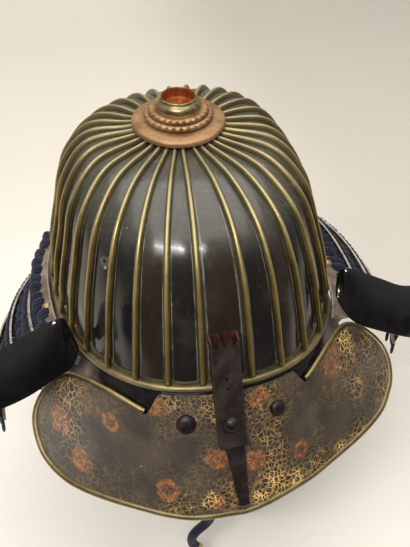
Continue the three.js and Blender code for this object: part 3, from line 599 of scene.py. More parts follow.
class Shade(Nodes):
    """A material round one Principled shader; its slot is not used; its patterns lie on Object coordinates at
    first.
    """

    def __init__(self, name, slot, roughness, metallic=0.0, **sockets):
        self.material = bpy.data.materials.new(name)
        self.material.use_nodes = True
        super().__init__(self.material.node_tree)
        self.shader = self.tree.nodes["Principled BSDF"]
        self.shader.inputs["Roughness"].default_value = roughness
        self.shader.inputs["Metallic"].default_value = metallic
        for key, value in sockets.items():
            self.shader.inputs[key.replace("_", " ")].default_value = value
        self.object = self.node("TexCoord").outputs["Object"]
        self.where = self.object
        self.base = None
        self.height = None

    def flat(self):
        """The piece's own UV, and its parts."""
        self.uv = self.node("UVMap", uv_map="flat").outputs[0]
        return self.split(self.uv)

    def mix(self, share, a, b):
        """A colour mix: each colour is a triple of display values, linear RGBA or a socket."""
        first, second = (srgb(*v) if isinstance(v, tuple) and len(v) == 3 else v for v in (a, b))
        return self.node("Mix", {0: share, 6: first, 7: second}, data_type="RGBA").outputs[2]

    def cover(self, mask, share, colour):
        """Lays a colour over the base where the mask is, by a share of it."""
        self.base = self.mix(self.times(mask, share), self.base, colour)

    def noise(self, scale, detail, rough, where=None):
        """Noise in 0..1."""
        inputs = {"Vector": where or self.where, "Scale": scale, "Detail": detail, "Roughness": rough}
        return self.node("TexNoise", inputs).outputs["Fac"]

    def patchy(self, scale, detail, rough, low, high, where=None):
        """Patches: a smooth step of noise."""
        return self.step(self.noise(scale, detail, rough, where), low, high)

    def wander(self, scale, detail, rough, size):
        """Noise about zero, size across."""
        return self.times(self.minus(self.noise(scale, detail, rough), 0.5), size)

    def cells(self, scale, feature="F1", where=None):
        """A Voronoi node's outputs."""
        inputs = {"Vector": where or self.where, "Scale": scale}
        return self.node("TexVoronoi", inputs, feature=feature).outputs

    def specks(self, scale, size, low, high):
        """Small round specks in some of the cells."""
        made = self.cells(scale)
        return self.times(self.fall(made["Distance"], 0.05, size), self.step(made["Color"], low, high))

    def from_middle(self, x):
        """How far a value is from one half."""
        return self.size(self.minus(x, 0.5))

    def bore(self, behind_it, radius, edge):
        """1 inside an upright bore."""
        x, y, _ = self.split(self.object)
        square = self.plus(self.math("POWER", x, 2.0), self.math("POWER", self.minus(y, behind_it), 2.0))
        return self.fall(self.math("SQRT", square), radius, edge)

    def bump(self, height, strength, distance):
        """Adds a bump over the ones before."""
        inputs = {"Height": height, "Strength": strength, "Distance": distance, "Normal": self.height}
        self.height = self.node("Bump", inputs).outputs[0]

    def done(self, roughness=None):
        """Links the results to the shader."""
        for key, value in (("Base Color", self.base), ("Roughness", roughness), ("Normal", self.height)):
            if value is not None:
                self.tree.links.new(value, self.shader.inputs[key])
        return self.material


# ---- materials ----

def plate_lacquer():
    """Old black lacquer: each plate its own tint, rubbed brown, dusty beside the ribs, finely scratched."""
    s = Shade("plate_lacquer", "lacquer", 0.16, Coat_Weight=0.15, Coat_Roughness=0.12)
    plate = s.flat()[0]
    tint = s.node("TexWhiteNoise", {1: s.math("FLOOR", plate)}, noise_dimensions="1D").outputs[0]
    worn = s.patchy(34, 6, 0.65, 0.44, 0.68)
    s.base = s.mix(s.step(tint, 0.2, 0.8), (17, 18, 19), (36, 29, 23))
    s.cover(worn, 0.5, (52, 47, 39))
    high = s.step(s.split(s.object)[2], 0.075, 0.125)
    s.cover(high, s.line(s.patchy(300, 5, 0.7, 0.5, 0.74), 0.4, 0.35), (104, 102, 92))
    ragged = s.plus(s.from_middle(s.math("FRACT", plate)), s.wander(160, 4, 0.7, 0.035))
    beside = s.step(ragged, 0.31, 0.38)
    s.cover(beside, 0.35, (84, 79, 66))
    band = s.times(s.step(ragged, 0.348, 0.356), s.fall(ragged, 0.366, 0.376))
    s.cover(s.times(band, s.patchy(60, 3, 0.6, 0.36, 0.6)), 0.6, (146, 144, 130))
    # The dark marks are painted shade in a pit and a hole; the pale ones are scuffs.
    for azimuth, level, radius, share, colour in PLATE_MARKS:
        reach = radius * MM
        spot = dome_point(azimuth, level, plate_depth(level)) * MM
        away = s.vector("DISTANCE", s.object, tuple(spot.tolist()))["Value"]
        away = s.plus(away, s.wander(520, 4, 0.7, 2 * reach))
        s.base = s.mix(s.step(away, 0.4 * reach, reach, share, 0.0), s.base, colour)
    upright = s.node("Mapping", {0: s.object, 3: (1, 1, 0.06)}).outputs[0]
    s.cover(s.patchy(420, 3, 0.6, 0.6, 0.78, upright), 0.14, (112, 108, 94))
    s.cover(s.specks(150, 0.12, 0.8, 0.86), 0.5, (150, 142, 128))
    s.bump(s.noise(16, 2, 0.5), 0.3, 0.004)
    s.bump(s.noise(700, 3, 0.6), 0.08, 0.0002)
    rough = s.line(s.largest([worn, beside]), 0.14, 0.15)
    return s.done(s.plus(rough, s.times(high, 0.14)))


def brass(name, dark, light, mottling=0.35, crested=True):
    """Tarnished brass: mottled and pitted; along the middle of a crested strip, worn bright with a painted
    highlight.
    """
    s = Shade(name, "brass", 0.4, 0.7)
    tarnish = s.patchy(46, 6, 0.7, 0.34, 0.68)
    share = s.times(tarnish, mottling)
    if crested:
        # Painted highlight along the strip's middle, where it is also worn bright.
        crest_highlight = s.fall(s.from_middle(s.flat()[1]), 0.05, 0.3)
        share = s.math("ADD", share, s.times(crest_highlight, 0.55), clamp=True)
    s.base = s.mix(share, dark, light)
    s.cover(s.patchy(560, 4, 0.7, 0.54, 0.76), 0.4, srgb(*dark, 0.5))
    s.cover(s.patchy(130, 4, 0.6, 0.62, 0.72), 0.3, (150, 146, 92))
    s.bump(s.noise(260, 4, 0.6), 0.15, 0.0005)
    return s.done(s.line(tarnish, 0.16, 0.32))


def rib_brass():
    """Brass on the ribs: olive and dark at the foot; rubbed bright with a painted highlight on top; painted
    shade at the sides; a pale painted highlight at the crown.
    """
    s = Shade("rib_brass", "brass", 0.42, 0.72)
    middle = s.from_middle(s.flat()[1])
    rise = s.split(s.object)[2]
    # Painted highlight along the rib's top, where it is also rubbed bright.
    crest_highlight = s.fall(s.plus(middle, s.wander(70, 4, 0.6, 0.22)), 0.06, 0.26)
    tarnish = s.patchy(38, 6, 0.7, 0.36, 0.66)
    s.base = s.mix(s.times(tarnish, 0.6), (92, 78, 46), (150, 126, 70))
    s.cover(crest_highlight, 0.55, (206, 180, 110))
    s.cover(s.fall(rise, 0.01, 0.085), 0.5, (84, 72, 40))
    # Painted shade along the rib's sides, where they meet the plates.
    s.cover(s.step(middle, 0.36, 0.47), 0.85, (44, 38, 28))
    # Paler near the crown: a painted highlight.
    high = s.step(rise, 0.06, 0.118)
    s.cover(high, 0.7, s.mix(crest_highlight, (112, 104, 76), (168, 160, 122)))
    s.cover(s.patchy(520, 4, 0.7, 0.56, 0.74), 0.35, (70, 60, 40))
    s.cover(s.patchy(120, 4, 0.6, 0.62, 0.72), 0.3, (150, 150, 96))
    s.cover(s.patchy(88, 5, 0.7, 0.56, 0.66), 0.35, (146, 98, 62))
    s.bump(s.noise(240, 4, 0.6), 0.15, 0.0005)
    return s.done(s.plus(s.line(tarnish, 0.16, 0.26), s.times(high, 0.12)))


def copper():
    """Worn brown copper gilt with pits, and orange inside the bore."""
    s = Shade("crown_copper", "copper", 0.42, 0.65)
    bloom = s.patchy(90, 6, 0.7, 0.36, 0.66)
    s.base = s.mix(bloom, (136, 106, 72), (170, 136, 98))
    s.cover(s.patchy(800, 4, 0.7, 0.52, 0.7), 0.55, (98, 66, 46))
    s.cover(s.patchy(60, 3, 0.5, 0.42, 0.6), 0.35, (170, 122, 84))
    orange = s.mix(s.patchy(160, 5, 0.7, 0.4, 0.65), (186, 96, 44), (226, 150, 84))
    s.base = s.mix(s.bore(0.0069, 0.0122, 0.0128), s.base, orange)
    s.bump(s.noise(600, 4, 0.65), 0.4, 0.0007)
    return s.done(s.line(bloom, 0.18, 0.32))


def collar_brass():
    """Greenish gilt outside, raw copper inside the mouth."""
    s = Shade("collar_brass", "brass", 0.36, 0.8)
    tarnish = s.patchy(160, 6, 0.7, 0.36, 0.62)
    outer = s.mix(tarnish, (104, 92, 62), (158, 144, 102))
    inner = s.mix(tarnish, (150, 78, 44), (196, 112, 64))
    s.base = s.mix(s.bore(0.0065, 0.0118, 0.0126), outer, inner)
    s.bump(s.noise(500, 4, 0.6), 0.2, 0.0005)
    return s.done()


def russet_iron(name="russet_iron", tone=1.0, nick=None):
    """Brown rusted iron, satin, faintly pitted; nick is a point and a direction across a nick, painted as a
    dark line of shade.
    """
    s = Shade(name, "russet_iron", 0.5, 0.45)
    mottled = s.patchy(120, 6, 0.65, 0.38, 0.64)
    s.base = s.mix(mottled, srgb(34, 27, 25, tone), srgb(47, 38, 34, tone))
    s.cover(s.patchy(900, 3, 0.6, 0.5, 0.7), 0.25, (40, 30, 28))
    if nick:
        place, across = nick
        beside = s.vector("DOT_PRODUCT", s.object, tuple(across.tolist()))["Value"]
        beside = s.size(s.minus(beside, float(place @ across)))
        # The nick is painted shade: a dark line where its groove lies.
        s.base = s.mix(s.step(beside, 0.0004, 0.0008, 0.85, 0.0), s.base, (8, 7, 7))
    s.bump(s.noise(500, 4, 0.6), 0.25, 0.0005)
    return s.done(s.line(mottled, 0.16, 0.34))


def socket_iron():
    """Russet iron outside; red lacquer, worn, inside the socket."""
    s = Shade("socket_iron", "russet_iron", 0.5, 0.25)
    cloud = s.patchy(90, 5, 0.65, 0.38, 0.66)
    s.base = s.mix(cloud, (36, 29, 27), (52, 42, 38))
    s.cover(s.patchy(700, 4, 0.7, 0.56, 0.76), 0.3, (84, 70, 60))
    s.base = s.mix(s.flat()[0], s.base, s.mix(cloud, (34, 13, 11), (70, 33, 26)))
    s.bump(s.noise(500, 4, 0.6), 0.25, 0.0005)
    return s.done(s.line(cloud, 0.15, 0.42))


def blossom(s, azimuth, down, radius, petals, strength, hollow):
    """The mask of one blossom: a ring of round petals with a dark ring round its heart, and ragged edges."""
    reach = radius * MM
    centre = (*flat_place(azimuth, down).tolist(), 0)
    away = s.vector("SUBTRACT", s.uv, centre)["Vector"]
    x, y, _ = s.split(away)
    distance = s.vector("LENGTH", away)["Value"]
    ripple = s.size(s.math("COSINE", s.times(s.math("ARCTAN2", y, x), petals / 2)))
    lobes = s.times(s.math("POWER", ripple, 0.5), 0.3 * reach)
    edge = s.minus(s.minus(distance, lobes), s.wander(300, 4, 0.65, 0.4 * reach))
    ring = s.step(s.size(s.minus(distance, 0.42 * reach)), 0.03 * reach, 0.1 * reach, 0.45, 1.0)
    flower = s.times(s.step(edge, 0.56 * reach, 0.8 * reach, strength, 0.0), ring)
    if hollow:
        return s.times(flower, s.step(distance, 0.3 * reach, 0.5 * reach, 0.2, 1.0))
    return flower


def printed_leather():
    """Dark olive leather, rubbed bare in places, with a gilt scroll net and orange blossoms."""
    s = Shade("printed_leather", "printed_leather", 0.5, Sheen_Weight=0.05)
    s.flat()
    bent = s.node("TexNoise", {"Vector": s.uv, "Scale": 130.0, "Detail": 2.0}).outputs["Color"]
    warp = s.vector("MULTIPLY", bent, (0.0042, 0.0042, 0))["Vector"]
    where = s.vector("ADD", s.uv, warp)["Vector"]
    s.where = s.uv
    net = s.fall(s.cells(300, "DISTANCE_TO_EDGE", where)["Distance"], 0.025, 0.1)
    wave = s.size(s.math("SINE", s.times(s.noise(120, 1, 0.4, where), 40.0)))
    scroll = s.largest([net, s.times(s.fall(wave, 0.1, 0.3), 0.7)])

    def patches(places):
        """The strongest of several soft round masks about places on the leather."""
        masks = []
        for azimuth, down, radius in places:
            centre = (*flat_place(azimuth, down).tolist(), 0)
            ragged = s.plus(s.vector("DISTANCE", s.uv, centre)["Value"], s.wander(60, 4, 0.6, 0.02))
            masks.append(s.fall(ragged, radius * MM * 0.25, radius * MM))
        return s.largest(masks)

    dense = patches(DENSE_PRINT)
    keep = s.line(patches(WORN_PRINT), -0.93, 1.0)
    bright = patches(BRIGHT_PRINT)
    rub = s.patchy(180, 4, 0.65, 0.3, 0.6)
    strength = s.times(s.times(s.line(dense, 0.6, 0.2), keep), s.line(rub, 0.75, 0.25))
    s.base = s.mix(s.patchy(40, 5, 0.6, 0.36, 0.66), (42, 36, 28), (62, 53, 41))
    s.cover(s.times(dense, keep), 0.7, (20, 15, 10))
    gilding = s.mix(s.patchy(60, 3, 0.6, 0.4, 0.62), (122, 96, 58), (176, 138, 82))
    gilding = s.mix(bright, gilding, (216, 176, 104))
    gold = s.largest([s.times(scroll, strength), s.times(s.times(bright, scroll), 0.85)])
    s.base = s.mix(gold, s.base, gilding)
    petals = s.largest([blossom(s, *row) for row in BLOSSOMS])
    broken = s.patchy(480, 4, 0.7, 0.28, 0.6)
    orange = s.mix(s.patchy(260, 3, 0.6, 0.4, 0.62), (108, 62, 30), (176, 108, 54))
    s.cover(petals, s.line(broken, 0.6, 0.2), orange)
    s.cover(s.specks(110, 0.11, 0.62, 0.7), 0.5, (168, 144, 100))
    s.bump(s.noise(900, 4, 0.6), 0.3, 0.0004)
    s.bump(gold, 0.3, 0.0003)
    return s.done(s.line(gold, -0.16, 0.56))


def lame_lacquer():
    """Faded brown lacquer on the lames, paler along the edges: painted light there, broken up by chipping."""
    s = Shade("brown_lacquer", "brown_lacquer", 0.45, 0.1)
    v = s.flat()[1]
    s.base = s.mix(s.patchy(60, 5, 0.65, 0.4, 0.64), (96, 82, 72), (140, 124, 110))
    # Painted light along the lames' edges, broken up by chips.
    chipped_edge_light = s.line(s.patchy(190, 4, 0.7, 0.36, 0.58), 0.5, 0.2)
    s.cover(s.largest([s.fall(v, 0.0, 0.1), s.step(v, 0.9, 1.0)]), chipped_edge_light, (186, 178, 166))
    s.bump(s.noise(400, 4, 0.6), 0.2, 0.0005)
    return s.done()


def silk(name, dark, light, pitch):
    """Braided silk: slanted plaits along the cord, painted light on the plaits and painted shade between
    them, worn paler in patches.
    """
    s = Shade(name, "silk", 0.75, Sheen_Weight=0.12, Sheen_Roughness=0.4, Specular_IOR_Level=0.3)
    u, v, _ = s.flat()
    along, slant = s.times(u, pitch * 2 * math.pi), s.times(v, 4 * math.pi)
    plait = s.largest([s.math("SINE", s.plus(along, slant)), s.math("SINE", s.minus(along, slant))])
    # Painted light and shade: lighter on the plaits, darker in the grooves between them.
    s.base = s.mix(s.step(plait, -0.2, 0.9), dark, light)
    s.cover(s.patchy(110, 5, 0.65, 0.44, 0.68), 0.12, (84, 86, 100))
    s.bump(plait, 0.6, 0.0006)
    s.bump(s.noise(1500, 2, 0.6), 0.3, 0.0003)
    return s.done()


def turnback_lacquer():
    """Black lacquer with a faint brown bloom and fine scratches."""
    s = Shade("turnback_lacquer", "lacquer", 0.12, Coat_Weight=0.3, Coat_Roughness=0.08)
    cloud = s.patchy(30, 5, 0.6, 0.42, 0.66)
    s.base = s.mix(cloud, (9, 9, 10), (20, 18, 18))
    s.cover(s.patchy(600, 4, 0.7, 0.6, 0.78), 0.12, (96, 88, 82))
    s.bump(s.noise(26, 2, 0.5), 0.12, 0.003)
    return s.done(s.line(cloud, 0.1, 0.09))


def band_lacquer():
    """The band under the rim: black in front, worn to a brown ground at the sides and back."""
    s = Shade("band_lacquer", "lacquer", 0.3)
    x, y, _ = s.split(s.object)
    beside = s.step(s.plus(s.size(x), s.times(s.noise(50, 4, 0.6), 0.02)), 0.09, 0.106)
    brown = s.largest([beside, s.step(y, -0.07, -0.04)])
    cloud = s.patchy(70, 5, 0.65, 0.4, 0.64)
    black = s.mix(cloud, (12, 12, 13), (28, 25, 24))
    s.base = s.mix(brown, black, s.mix(cloud, (78, 68, 60), (116, 104, 92)))
    s.bump(s.noise(300, 4, 0.6), 0.15, 0.0005)
    return s.done(s.line(brown, 0.25, 0.2))


def gilt():
    """Dull mottled gilt on the studs."""
    s = Shade("gilt", "gilt", 0.42, 0.6)
    cloud = s.patchy(600, 4, 0.6, 0.4, 0.64)
    s.base = s.mix(cloud, (136, 118, 80), (190, 166, 112))
    s.bump(s.noise(900, 3, 0.6), 0.2, 0.0003)
    return s.done(s.line(cloud, 0.12, 0.34))


plates_m = plate_lacquer()
rib_m = rib_brass()
border_m = brass("border_brass", (82, 74, 54), (126, 116, 86), 0.8, False)
rim_m = brass("rim_brass", (88, 77, 52), (160, 144, 102))
edge_m = brass("peak_edge_brass", (92, 80, 52), (166, 148, 102))
copper_m = copper()
collar_m = collar_brass()
iron_m = russet_iron()
rivet_m = russet_iron("rivet_iron", 0.8)
socket_m = socket_iron()
leather_m = printed_leather()
band_m = band_lacquer()
turn_m = turnback_lacquer()
lame_m = lame_lacquer()
silk_m = silk("navy_silk", (6, 8, 18), (22, 26, 48), 520)
tip_m = silk("tip_binding", (120, 100, 70), (196, 174, 130), 900)
gilt_m = gilt()


# ---- chin cord ----

def cord_piece(name, points, node):
    """A length of the cord along a curve through points, and its path in metres."""
    path = curve(points, 8)
    return finish_piece(sweep(name, round_rings(path, CORD / 2, 20)), silk_m, node), path * MM


def make_cord():
    """The whole loop, its short free end with a bound tip, and the knot over both."""
    loop, path = cord_piece("chin_cord_loop", CHIN_LOOP, "chin_cord")
    tail, path = cord_piece("chin_cord_tail", FREE_END, "chin_cord_end")
    turns, reach, half_width = 5, 6.1, 6.4
    a = np.linspace(0, turns * 2 * math.pi, 200)
    across = KNOT[0] - half_width + 2 * half_width * a / a[-1]
    coil = np.stack([across, KNOT[1] + reach * np.cos(a), KNOT[2] + reach * np.sin(a)], -1)
    knot = finish_piece(sweep("chin_cord_wrap", round_rings(coil, 1.5, 10)), silk_m)
    bound = finish_piece(sweep("chin_cord_tip", round_rings(curve(CORD_TIP, 4), 4.3, 16)), tip_m)


make_cord()


# ---- bowl ----

def make_bowl():
    """The dome's 32 plates, crowned by half a millimetre between the ribs, with a smooth inside."""
    a, level = grid(all_round(384), np.concatenate([np.linspace(0, 5, 71), np.linspace(5.1, 5.76, 8)]))
    nearest = np.abs(a[..., None] - np.concatenate([-RIBS, RIBS])).min(-1)
    crowned = 0.5 * smooth(0, 5, nearest) * (1 - smooth(4.2, 5, level))
    outer = dome_point(a, level, plate_depth(level) + crowned)
    inner = dome_point(a, level, plate_depth(level) - PLATE_WALL)
    marks = np.concatenate([-RIBS[::-1], RIBS, [360 - RIBS[-1]]])
    plate = np.interp(np.where(a < -RIBS[-1], a + 360, a), marks, np.arange(len(marks)))
    bowl = shell("bowl_plates", outer, inner, True, np.stack([plate, level / 6], -1), 50)
    finish_piece(bowl, plates_m, "bowl_front", "bowl_back")


def make_ribs():
    """Half-round standing flanges: a flattened half circle swept up each meridian, narrower at the crown."""
    level = np.concatenate([[0.05, 0.1], np.linspace(0.2, 5.15, 60)])[:, None]
    turn = np.linspace(0, math.pi, 13)
    near_rim = 1 - smooth(0.2, 0.6, level)
    foot = plate_depth(level) + 0.1 + 1.9 * near_rim
    lift = foot + (RIB_HEIGHT - 0.76 * near_rim) * np.sin(turn) ** 0.75
    lift[0] = foot[0] + (lift[0] - foot[0]) * 0.5
    across = -np.cos(turn) * RIB_HALF_WIDTH * (1 - 0.2 * smooth(3, 5.2, level))
    flat = np.stack(np.broadcast_arrays(level * 0.03, turn / math.pi), -1).reshape(-1, 2)
    for k, azimuth in enumerate(np.concatenate([RIBS, -RIBS[::-1]])):
        side = unit(dome_skin(azimuth + 0.5, level) - dome_skin(azimuth - 0.5, level))
        points, faces, _ = bar(dome_point(azimuth, level, lift) + side * across[..., None])
        obj = mesh_object(f"rib_brass_{k + 1:02d}", points, faces, flat, 60)
        finish_piece(obj, rib_m, f"rib_{k + 1:02d}")


def make_border():
    """The scalloped strip: its upper edge rises to a point at each rib, by the fourth power of nearness."""
    ribs = np.sort(np.concatenate([-RIBS, RIBS]))
    ribs = np.concatenate([[ribs[-1] - 360], ribs, [ribs[0] + 360]])
    azimuth = all_round(1152)
    i = np.clip(np.searchsorted(ribs, azimuth) - 1, 0, len(ribs) - 2)
    span = (ribs[i + 1] - ribs[i]) / 2
    near = 1 - np.minimum(azimuth - ribs[i], ribs[i + 1] - azimuth) / span
    beside = smooth(14, 50, np.abs(azimuth))
    high = 3.2 + 3 * beside + (2.2 + 4 * beside) * np.clip(near, 0, 1) ** 4
    rows = np.linspace(0, 1, 6)
    level = (1.6 + (high[:, None] - 1.6) * rows) / 32
    bead = 0.35 * np.exp(-((rows - 0.86) / 0.12) ** 2)
    outer = dome_point(azimuth[:, None], level, plate_depth(level) + 1.1 + bead)
    inner = dome_point(azimuth[:, None], level, plate_depth(level) + 0.25)
    finish_piece(shell("border_scallops", outer, inner, True), border_m, "border_strip")


def make_rim():
    """Half-round moulding round the rim: a half ellipse before a flat back."""
    azimuth = all_round(360)[:, None]
    turn = np.linspace(-math.pi / 2, math.pi / 2, 9)
    out = np.concatenate([[-3.4], -1.6 + 2.6 * np.cos(turn), [-3.4]])
    up = np.concatenate([[-2.2], 2.7 * np.sin(turn), [2.6]]) - 1.4
    rings = around(azimuth, rim_radius(azimuth) + out, up)
    finish_piece(sweep("rim_moulding", rings, True), rim_m, "rim_edge")


def make_waist():
    """The band under the rim, bowed by a half sine, and the two iron cord rings on it."""
    a, d = grid(all_round(240), np.linspace(0, WAIST_DEPTH, 13))
    outer = waist_point(a, d, 0.25 * np.sin(math.pi * d / WAIST_DEPTH))
    inner = waist_point(a, d, -1.5)
    finish_piece(shell("waist_band_lacquer", outer, inner, True), band_m, "waist_band")
    ring, wire = CORD_RING["radius"], CORD_RING["wire"]
    turn, section = circle(48)[:, None], circle(12)
    reach = ring + wire * np.cos(section)
    height = wire * np.sin(section)
    hoop = np.stack(np.broadcast_arrays(reach * np.cos(turn), reach * np.sin(turn), height), -1)
    for name, side in (("cord_ring_left", 1), ("cord_ring_right", -1)):
        azimuth = side * CORD_RING["azimuth"]
        edge = waist_point(azimuth, WAIST_DEPTH, -0.75)
        centre = around(azimuth, math.hypot(edge[0], edge[1]) - ring, edge[2])
        finish_piece(sweep(name, hoop + centre, True), iron_m)


# ---- crown fitting ----

def on_crown(points):
    """Tilts a fitting about X and stands it on the crown."""
    t = math.radians(CROWN["tilt"])
    y = points[:, 1] * math.cos(t) - points[:, 2] * math.sin(t) + CROWN["back"]
    z = points[:, 1] * math.sin(t) + points[:, 2] * math.cos(t) + CROWN["rise"]
    return np.stack([points[:, 0], y, z], -1)


def arc(centre, across, tall, first, last, count):
    """Points (radius, height) on part of an ellipse."""
    turns = np.linspace(first, last, count)
    return [(centre[0] + across * math.cos(a), centre[1] + tall * math.sin(a)) for a in turns]


def beads(turn, radius, height):
    """Beads: both hoops swell and pinch round the turn, as the square root of |cos(n turn)|."""
    low = np.exp(-((height - 3.4) / 2.0) ** 2) * (radius > 22.4)
    high = np.exp(-((height - 7.0) / 1.8) ** 2) * (radius > 18.4) * (radius < 22.4)
    swell = low * np.abs(np.cos(turn * 14)) ** 0.5 + high * np.abs(np.cos(turn * 13)) ** 0.5
    pinch = swell - 0.82 * (low + high)
    return radius + 1.7 * pinch, height + 1.1 * pinch


def make_crown():
    """Flange with a rolled lip, two beaded hoops on a sleeve, and a bulging collar."""
    bore = CROWN["bore"]
    lip = [(32.3, -4.6)] + arc((33.4, -3.2), 1.5, 2.3, -1.9, 1.1, 12)
    flange = [(bore, -3.6), (31.8, -3.6)] + lip
    flange += [(33.4, -0.7), (31.5, -0.35), (27.5, 0.1), (26, 0.45), (bore, 1.1)]
    finish_piece(lathe("crown_flange_lip", flange, 128, on_crown), copper_m, "crown_flange")
    sleeve = [(bore, 1.4), (22.6, 1.4)]
    sleeve += arc((23.2, 3.7), 2.4, 2.2, -1.3, 1.75, 10) + arc((19.6, 7.1), 2.4, 2.2, -1.3, 1.75, 10)
    sleeve += [(17.4, 8.9), (15.6, 8.6), (15.2, 9.4), (15.2, 10.7), (bore, 10.7)]
    finish_piece(lathe("crown_beads", sleeve, 448, on_crown, 50, beads), copper_m, "crown_bead_rings")
    bulge = [(bore, 10.6), (15.4, 10.6), (16.2, 11), (16.7, 12.2), (16.5, 13.2), (15.6, 14.4), (14.6, 15.2),
             (13.7, 15.8), (13.3, 16.4), (13.3, 17.2), (13, 17.6), (12.4, 17.7), (12.1, 17.3), (11.9, 16),
             (bore, 13)]
    finish_piece(lathe("crown_collar_bulge", bulge, 128, on_crown, 50), collar_m, "crown_collar")


# ---- peak ----

def visor_grid(inset):
    """Azimuth and down over the peak, drawn in from its edges; columns crowd at the tips."""
    t = np.linspace(-1, 1, 241)
    u = np.sign(t) * (1 - (1 - np.abs(t)) ** 1.5) * 0.9985
    azimuth = (VISOR_TIP - math.degrees(inset / 150)) * u
    upper, lower = visor_edge("upper", VISOR_TIP * u), visor_edge("lower", VISOR_TIP * u)
    room = np.minimum(inset, (lower - upper) / 2 - 0.2)
    upper = upper + np.where(np.abs(azimuth) < NOTCH - 1, 0, room)
    v = np.linspace(0, 1, 41)
    return azimuth[:, None] + 0 * v, upper[:, None] + v * (lower - room - upper)[:, None]


def visor_outline():
    """Azimuth and down along the peak's edge, from one notch round both lobes to the other."""
    low = np.concatenate([np.linspace(0, 44, 50), np.linspace(44.5, 50.9, 26), [51.08]])
    up = np.concatenate([np.linspace(NOTCH, 44, 30), np.linspace(44.6, 50.9, 22), [51.08]])
    halves = []
    for side in (1, -1):
        for edge, x in (("upper", side * up), ("lower", side * low[::-1])):
            halves.append(np.stack([x, visor_edge(edge, x)], 1))
    stops = np.concatenate([halves[0], halves[1], halves[3][::-1][1:], halves[2][::-1]])
    gaps = np.linalg.norm(np.diff(flat_place(stops[:, 0], stops[:, 1]), axis=0), axis=1)
    return stops[np.concatenate([[True], gaps > 4e-4])].T


def make_peak():
    """Iron plate, leather skin and half-round brass edge."""
    a, d = visor_grid(PEAK_PLATE["inset"])
    plate = shell("peak_plate", visor_point(a, d, 0), visor_point(a, d, -PEAK_PLATE["wall"]))
    finish_piece(plate, band_m, "peak")
    a, d = visor_grid(LEATHER["inset"])
    outer, inner = visor_point(a, d, LEATHER["top"]), visor_point(a, d, LEATHER["under"])
    finish_piece(shell("peak_leather_print", outer, inner, uv=flat_place(a, d)), leather_m, "peak_leather")
    azimuth, down = visor_outline()
    path = visor_point(azimuth, down, EDGE_STRIP["lift"])
    along = unit(np.gradient(path, axis=0))
    across = unit(np.cross(along, visor_point(azimuth, down, EDGE_STRIP["lift"] + 1) - path))
    square = np.cross(across, along)
    turn = circle(12)[None, :, None]
    rings = path[:, None] + EDGE_STRIP["half_width"] * np.cos(turn) * across[:, None]
    rings += EDGE_STRIP["half_height"] * np.sin(turn) * square[:, None]
    finish_piece(sweep("peak_edge_strip", rings), edge_m, "peak_edge")


def dome_head(name, radius, height, foot, tip, material, *replaced, flat=0.0):
    """A rivet: a quarter turn of (radius cos^p, height sin) lathed on a thin collar, facing foot to tip."""
    collar = 0.25
    profile = [(0.001, -0.4), (radius, -0.4), (radius, collar)]
    for t in np.linspace(0, math.pi / 2, 10)[:-1]:
        profile.append((radius * 0.97 * math.cos(t) ** (1 - flat * 0.4), collar + height * math.sin(t)))
    profile.append((0.001, collar + height))
    axis = unit(np.asarray(tip, float) - foot)
    side = unit(np.cross(axis, [0.3, 0.2, 1.0]))
    other = np.cross(axis, side)

    def place(p):
        """Turns the head to its axis."""
        return foot + p[:, :1] * side + p[:, 1:2] * other + p[:, 2:3] * axis

    finish_piece(lathe(name, profile, 40, place, 50), material, *replaced)


def make_peak_rivets():
    """Two domed heads on the leather, one nicked, and a pin in each end of the edge strip."""
    middle = visor_point(-RIVET_TURN, RIVET_DOWN, 1.3)
    sideways = unit(visor_point(1 - RIVET_TURN, RIVET_DOWN, 1.3) - middle)
    downhill = unit(visor_point(-RIVET_TURN, RIVET_DOWN + 1, 1.3) - middle)
    nicked_m = russet_iron("nicked_iron", 0.8, (middle * MM, unit(sideways * 0.9 + downhill * 0.45)))
    for name, azimuth, radius, material in (("peak_rivet_right", -RIVET_TURN, 7.0, nicked_m),
                                            ("peak_rivet_left", RIVET_TURN, 5.8, rivet_m)):
        foot, tip = visor_point(azimuth, RIVET_DOWN, 1.3), visor_point(azimuth, RIVET_DOWN, 3)
        dome_head(name + "_head", radius, 2.9, foot, tip, material, name, flat=0.6)
    for number, side in ((1, -1), (3, 1)):
        azimuth = side * (NOTCH + 0.45)
        down = visor_edge("upper", azimuth)
        foot, tip = visor_point(azimuth, down, 1.8), visor_point(azimuth, down, 3)
        dome_head(f"peak_edge_pin_{number}", 0.9, 0.5, foot, tip, rivet_m)


# ---- crest holder ----

def socket_section():
    """A rounded oblong of half size 1, front first, as x and y."""
    flat = np.linspace(-0.9, 0.9, 46)
    turn = np.radians([22, 45, 68])
    bend_x, bend_y = 0.9 + 0.1 * np.sin(turn), 0.8 + 0.2 * np.cos(turn)
    upright = np.linspace(0.8, -0.8, 9)
    x = np.concatenate([flat, bend_x, 1 + 0 * upright, bend_x[::-1]])
    y = np.concatenate([1 + 0 * flat, bend_y, upright, -bend_y[::-1]])
    return np.concatenate([x, -x]), np.concatenate([y, -y])


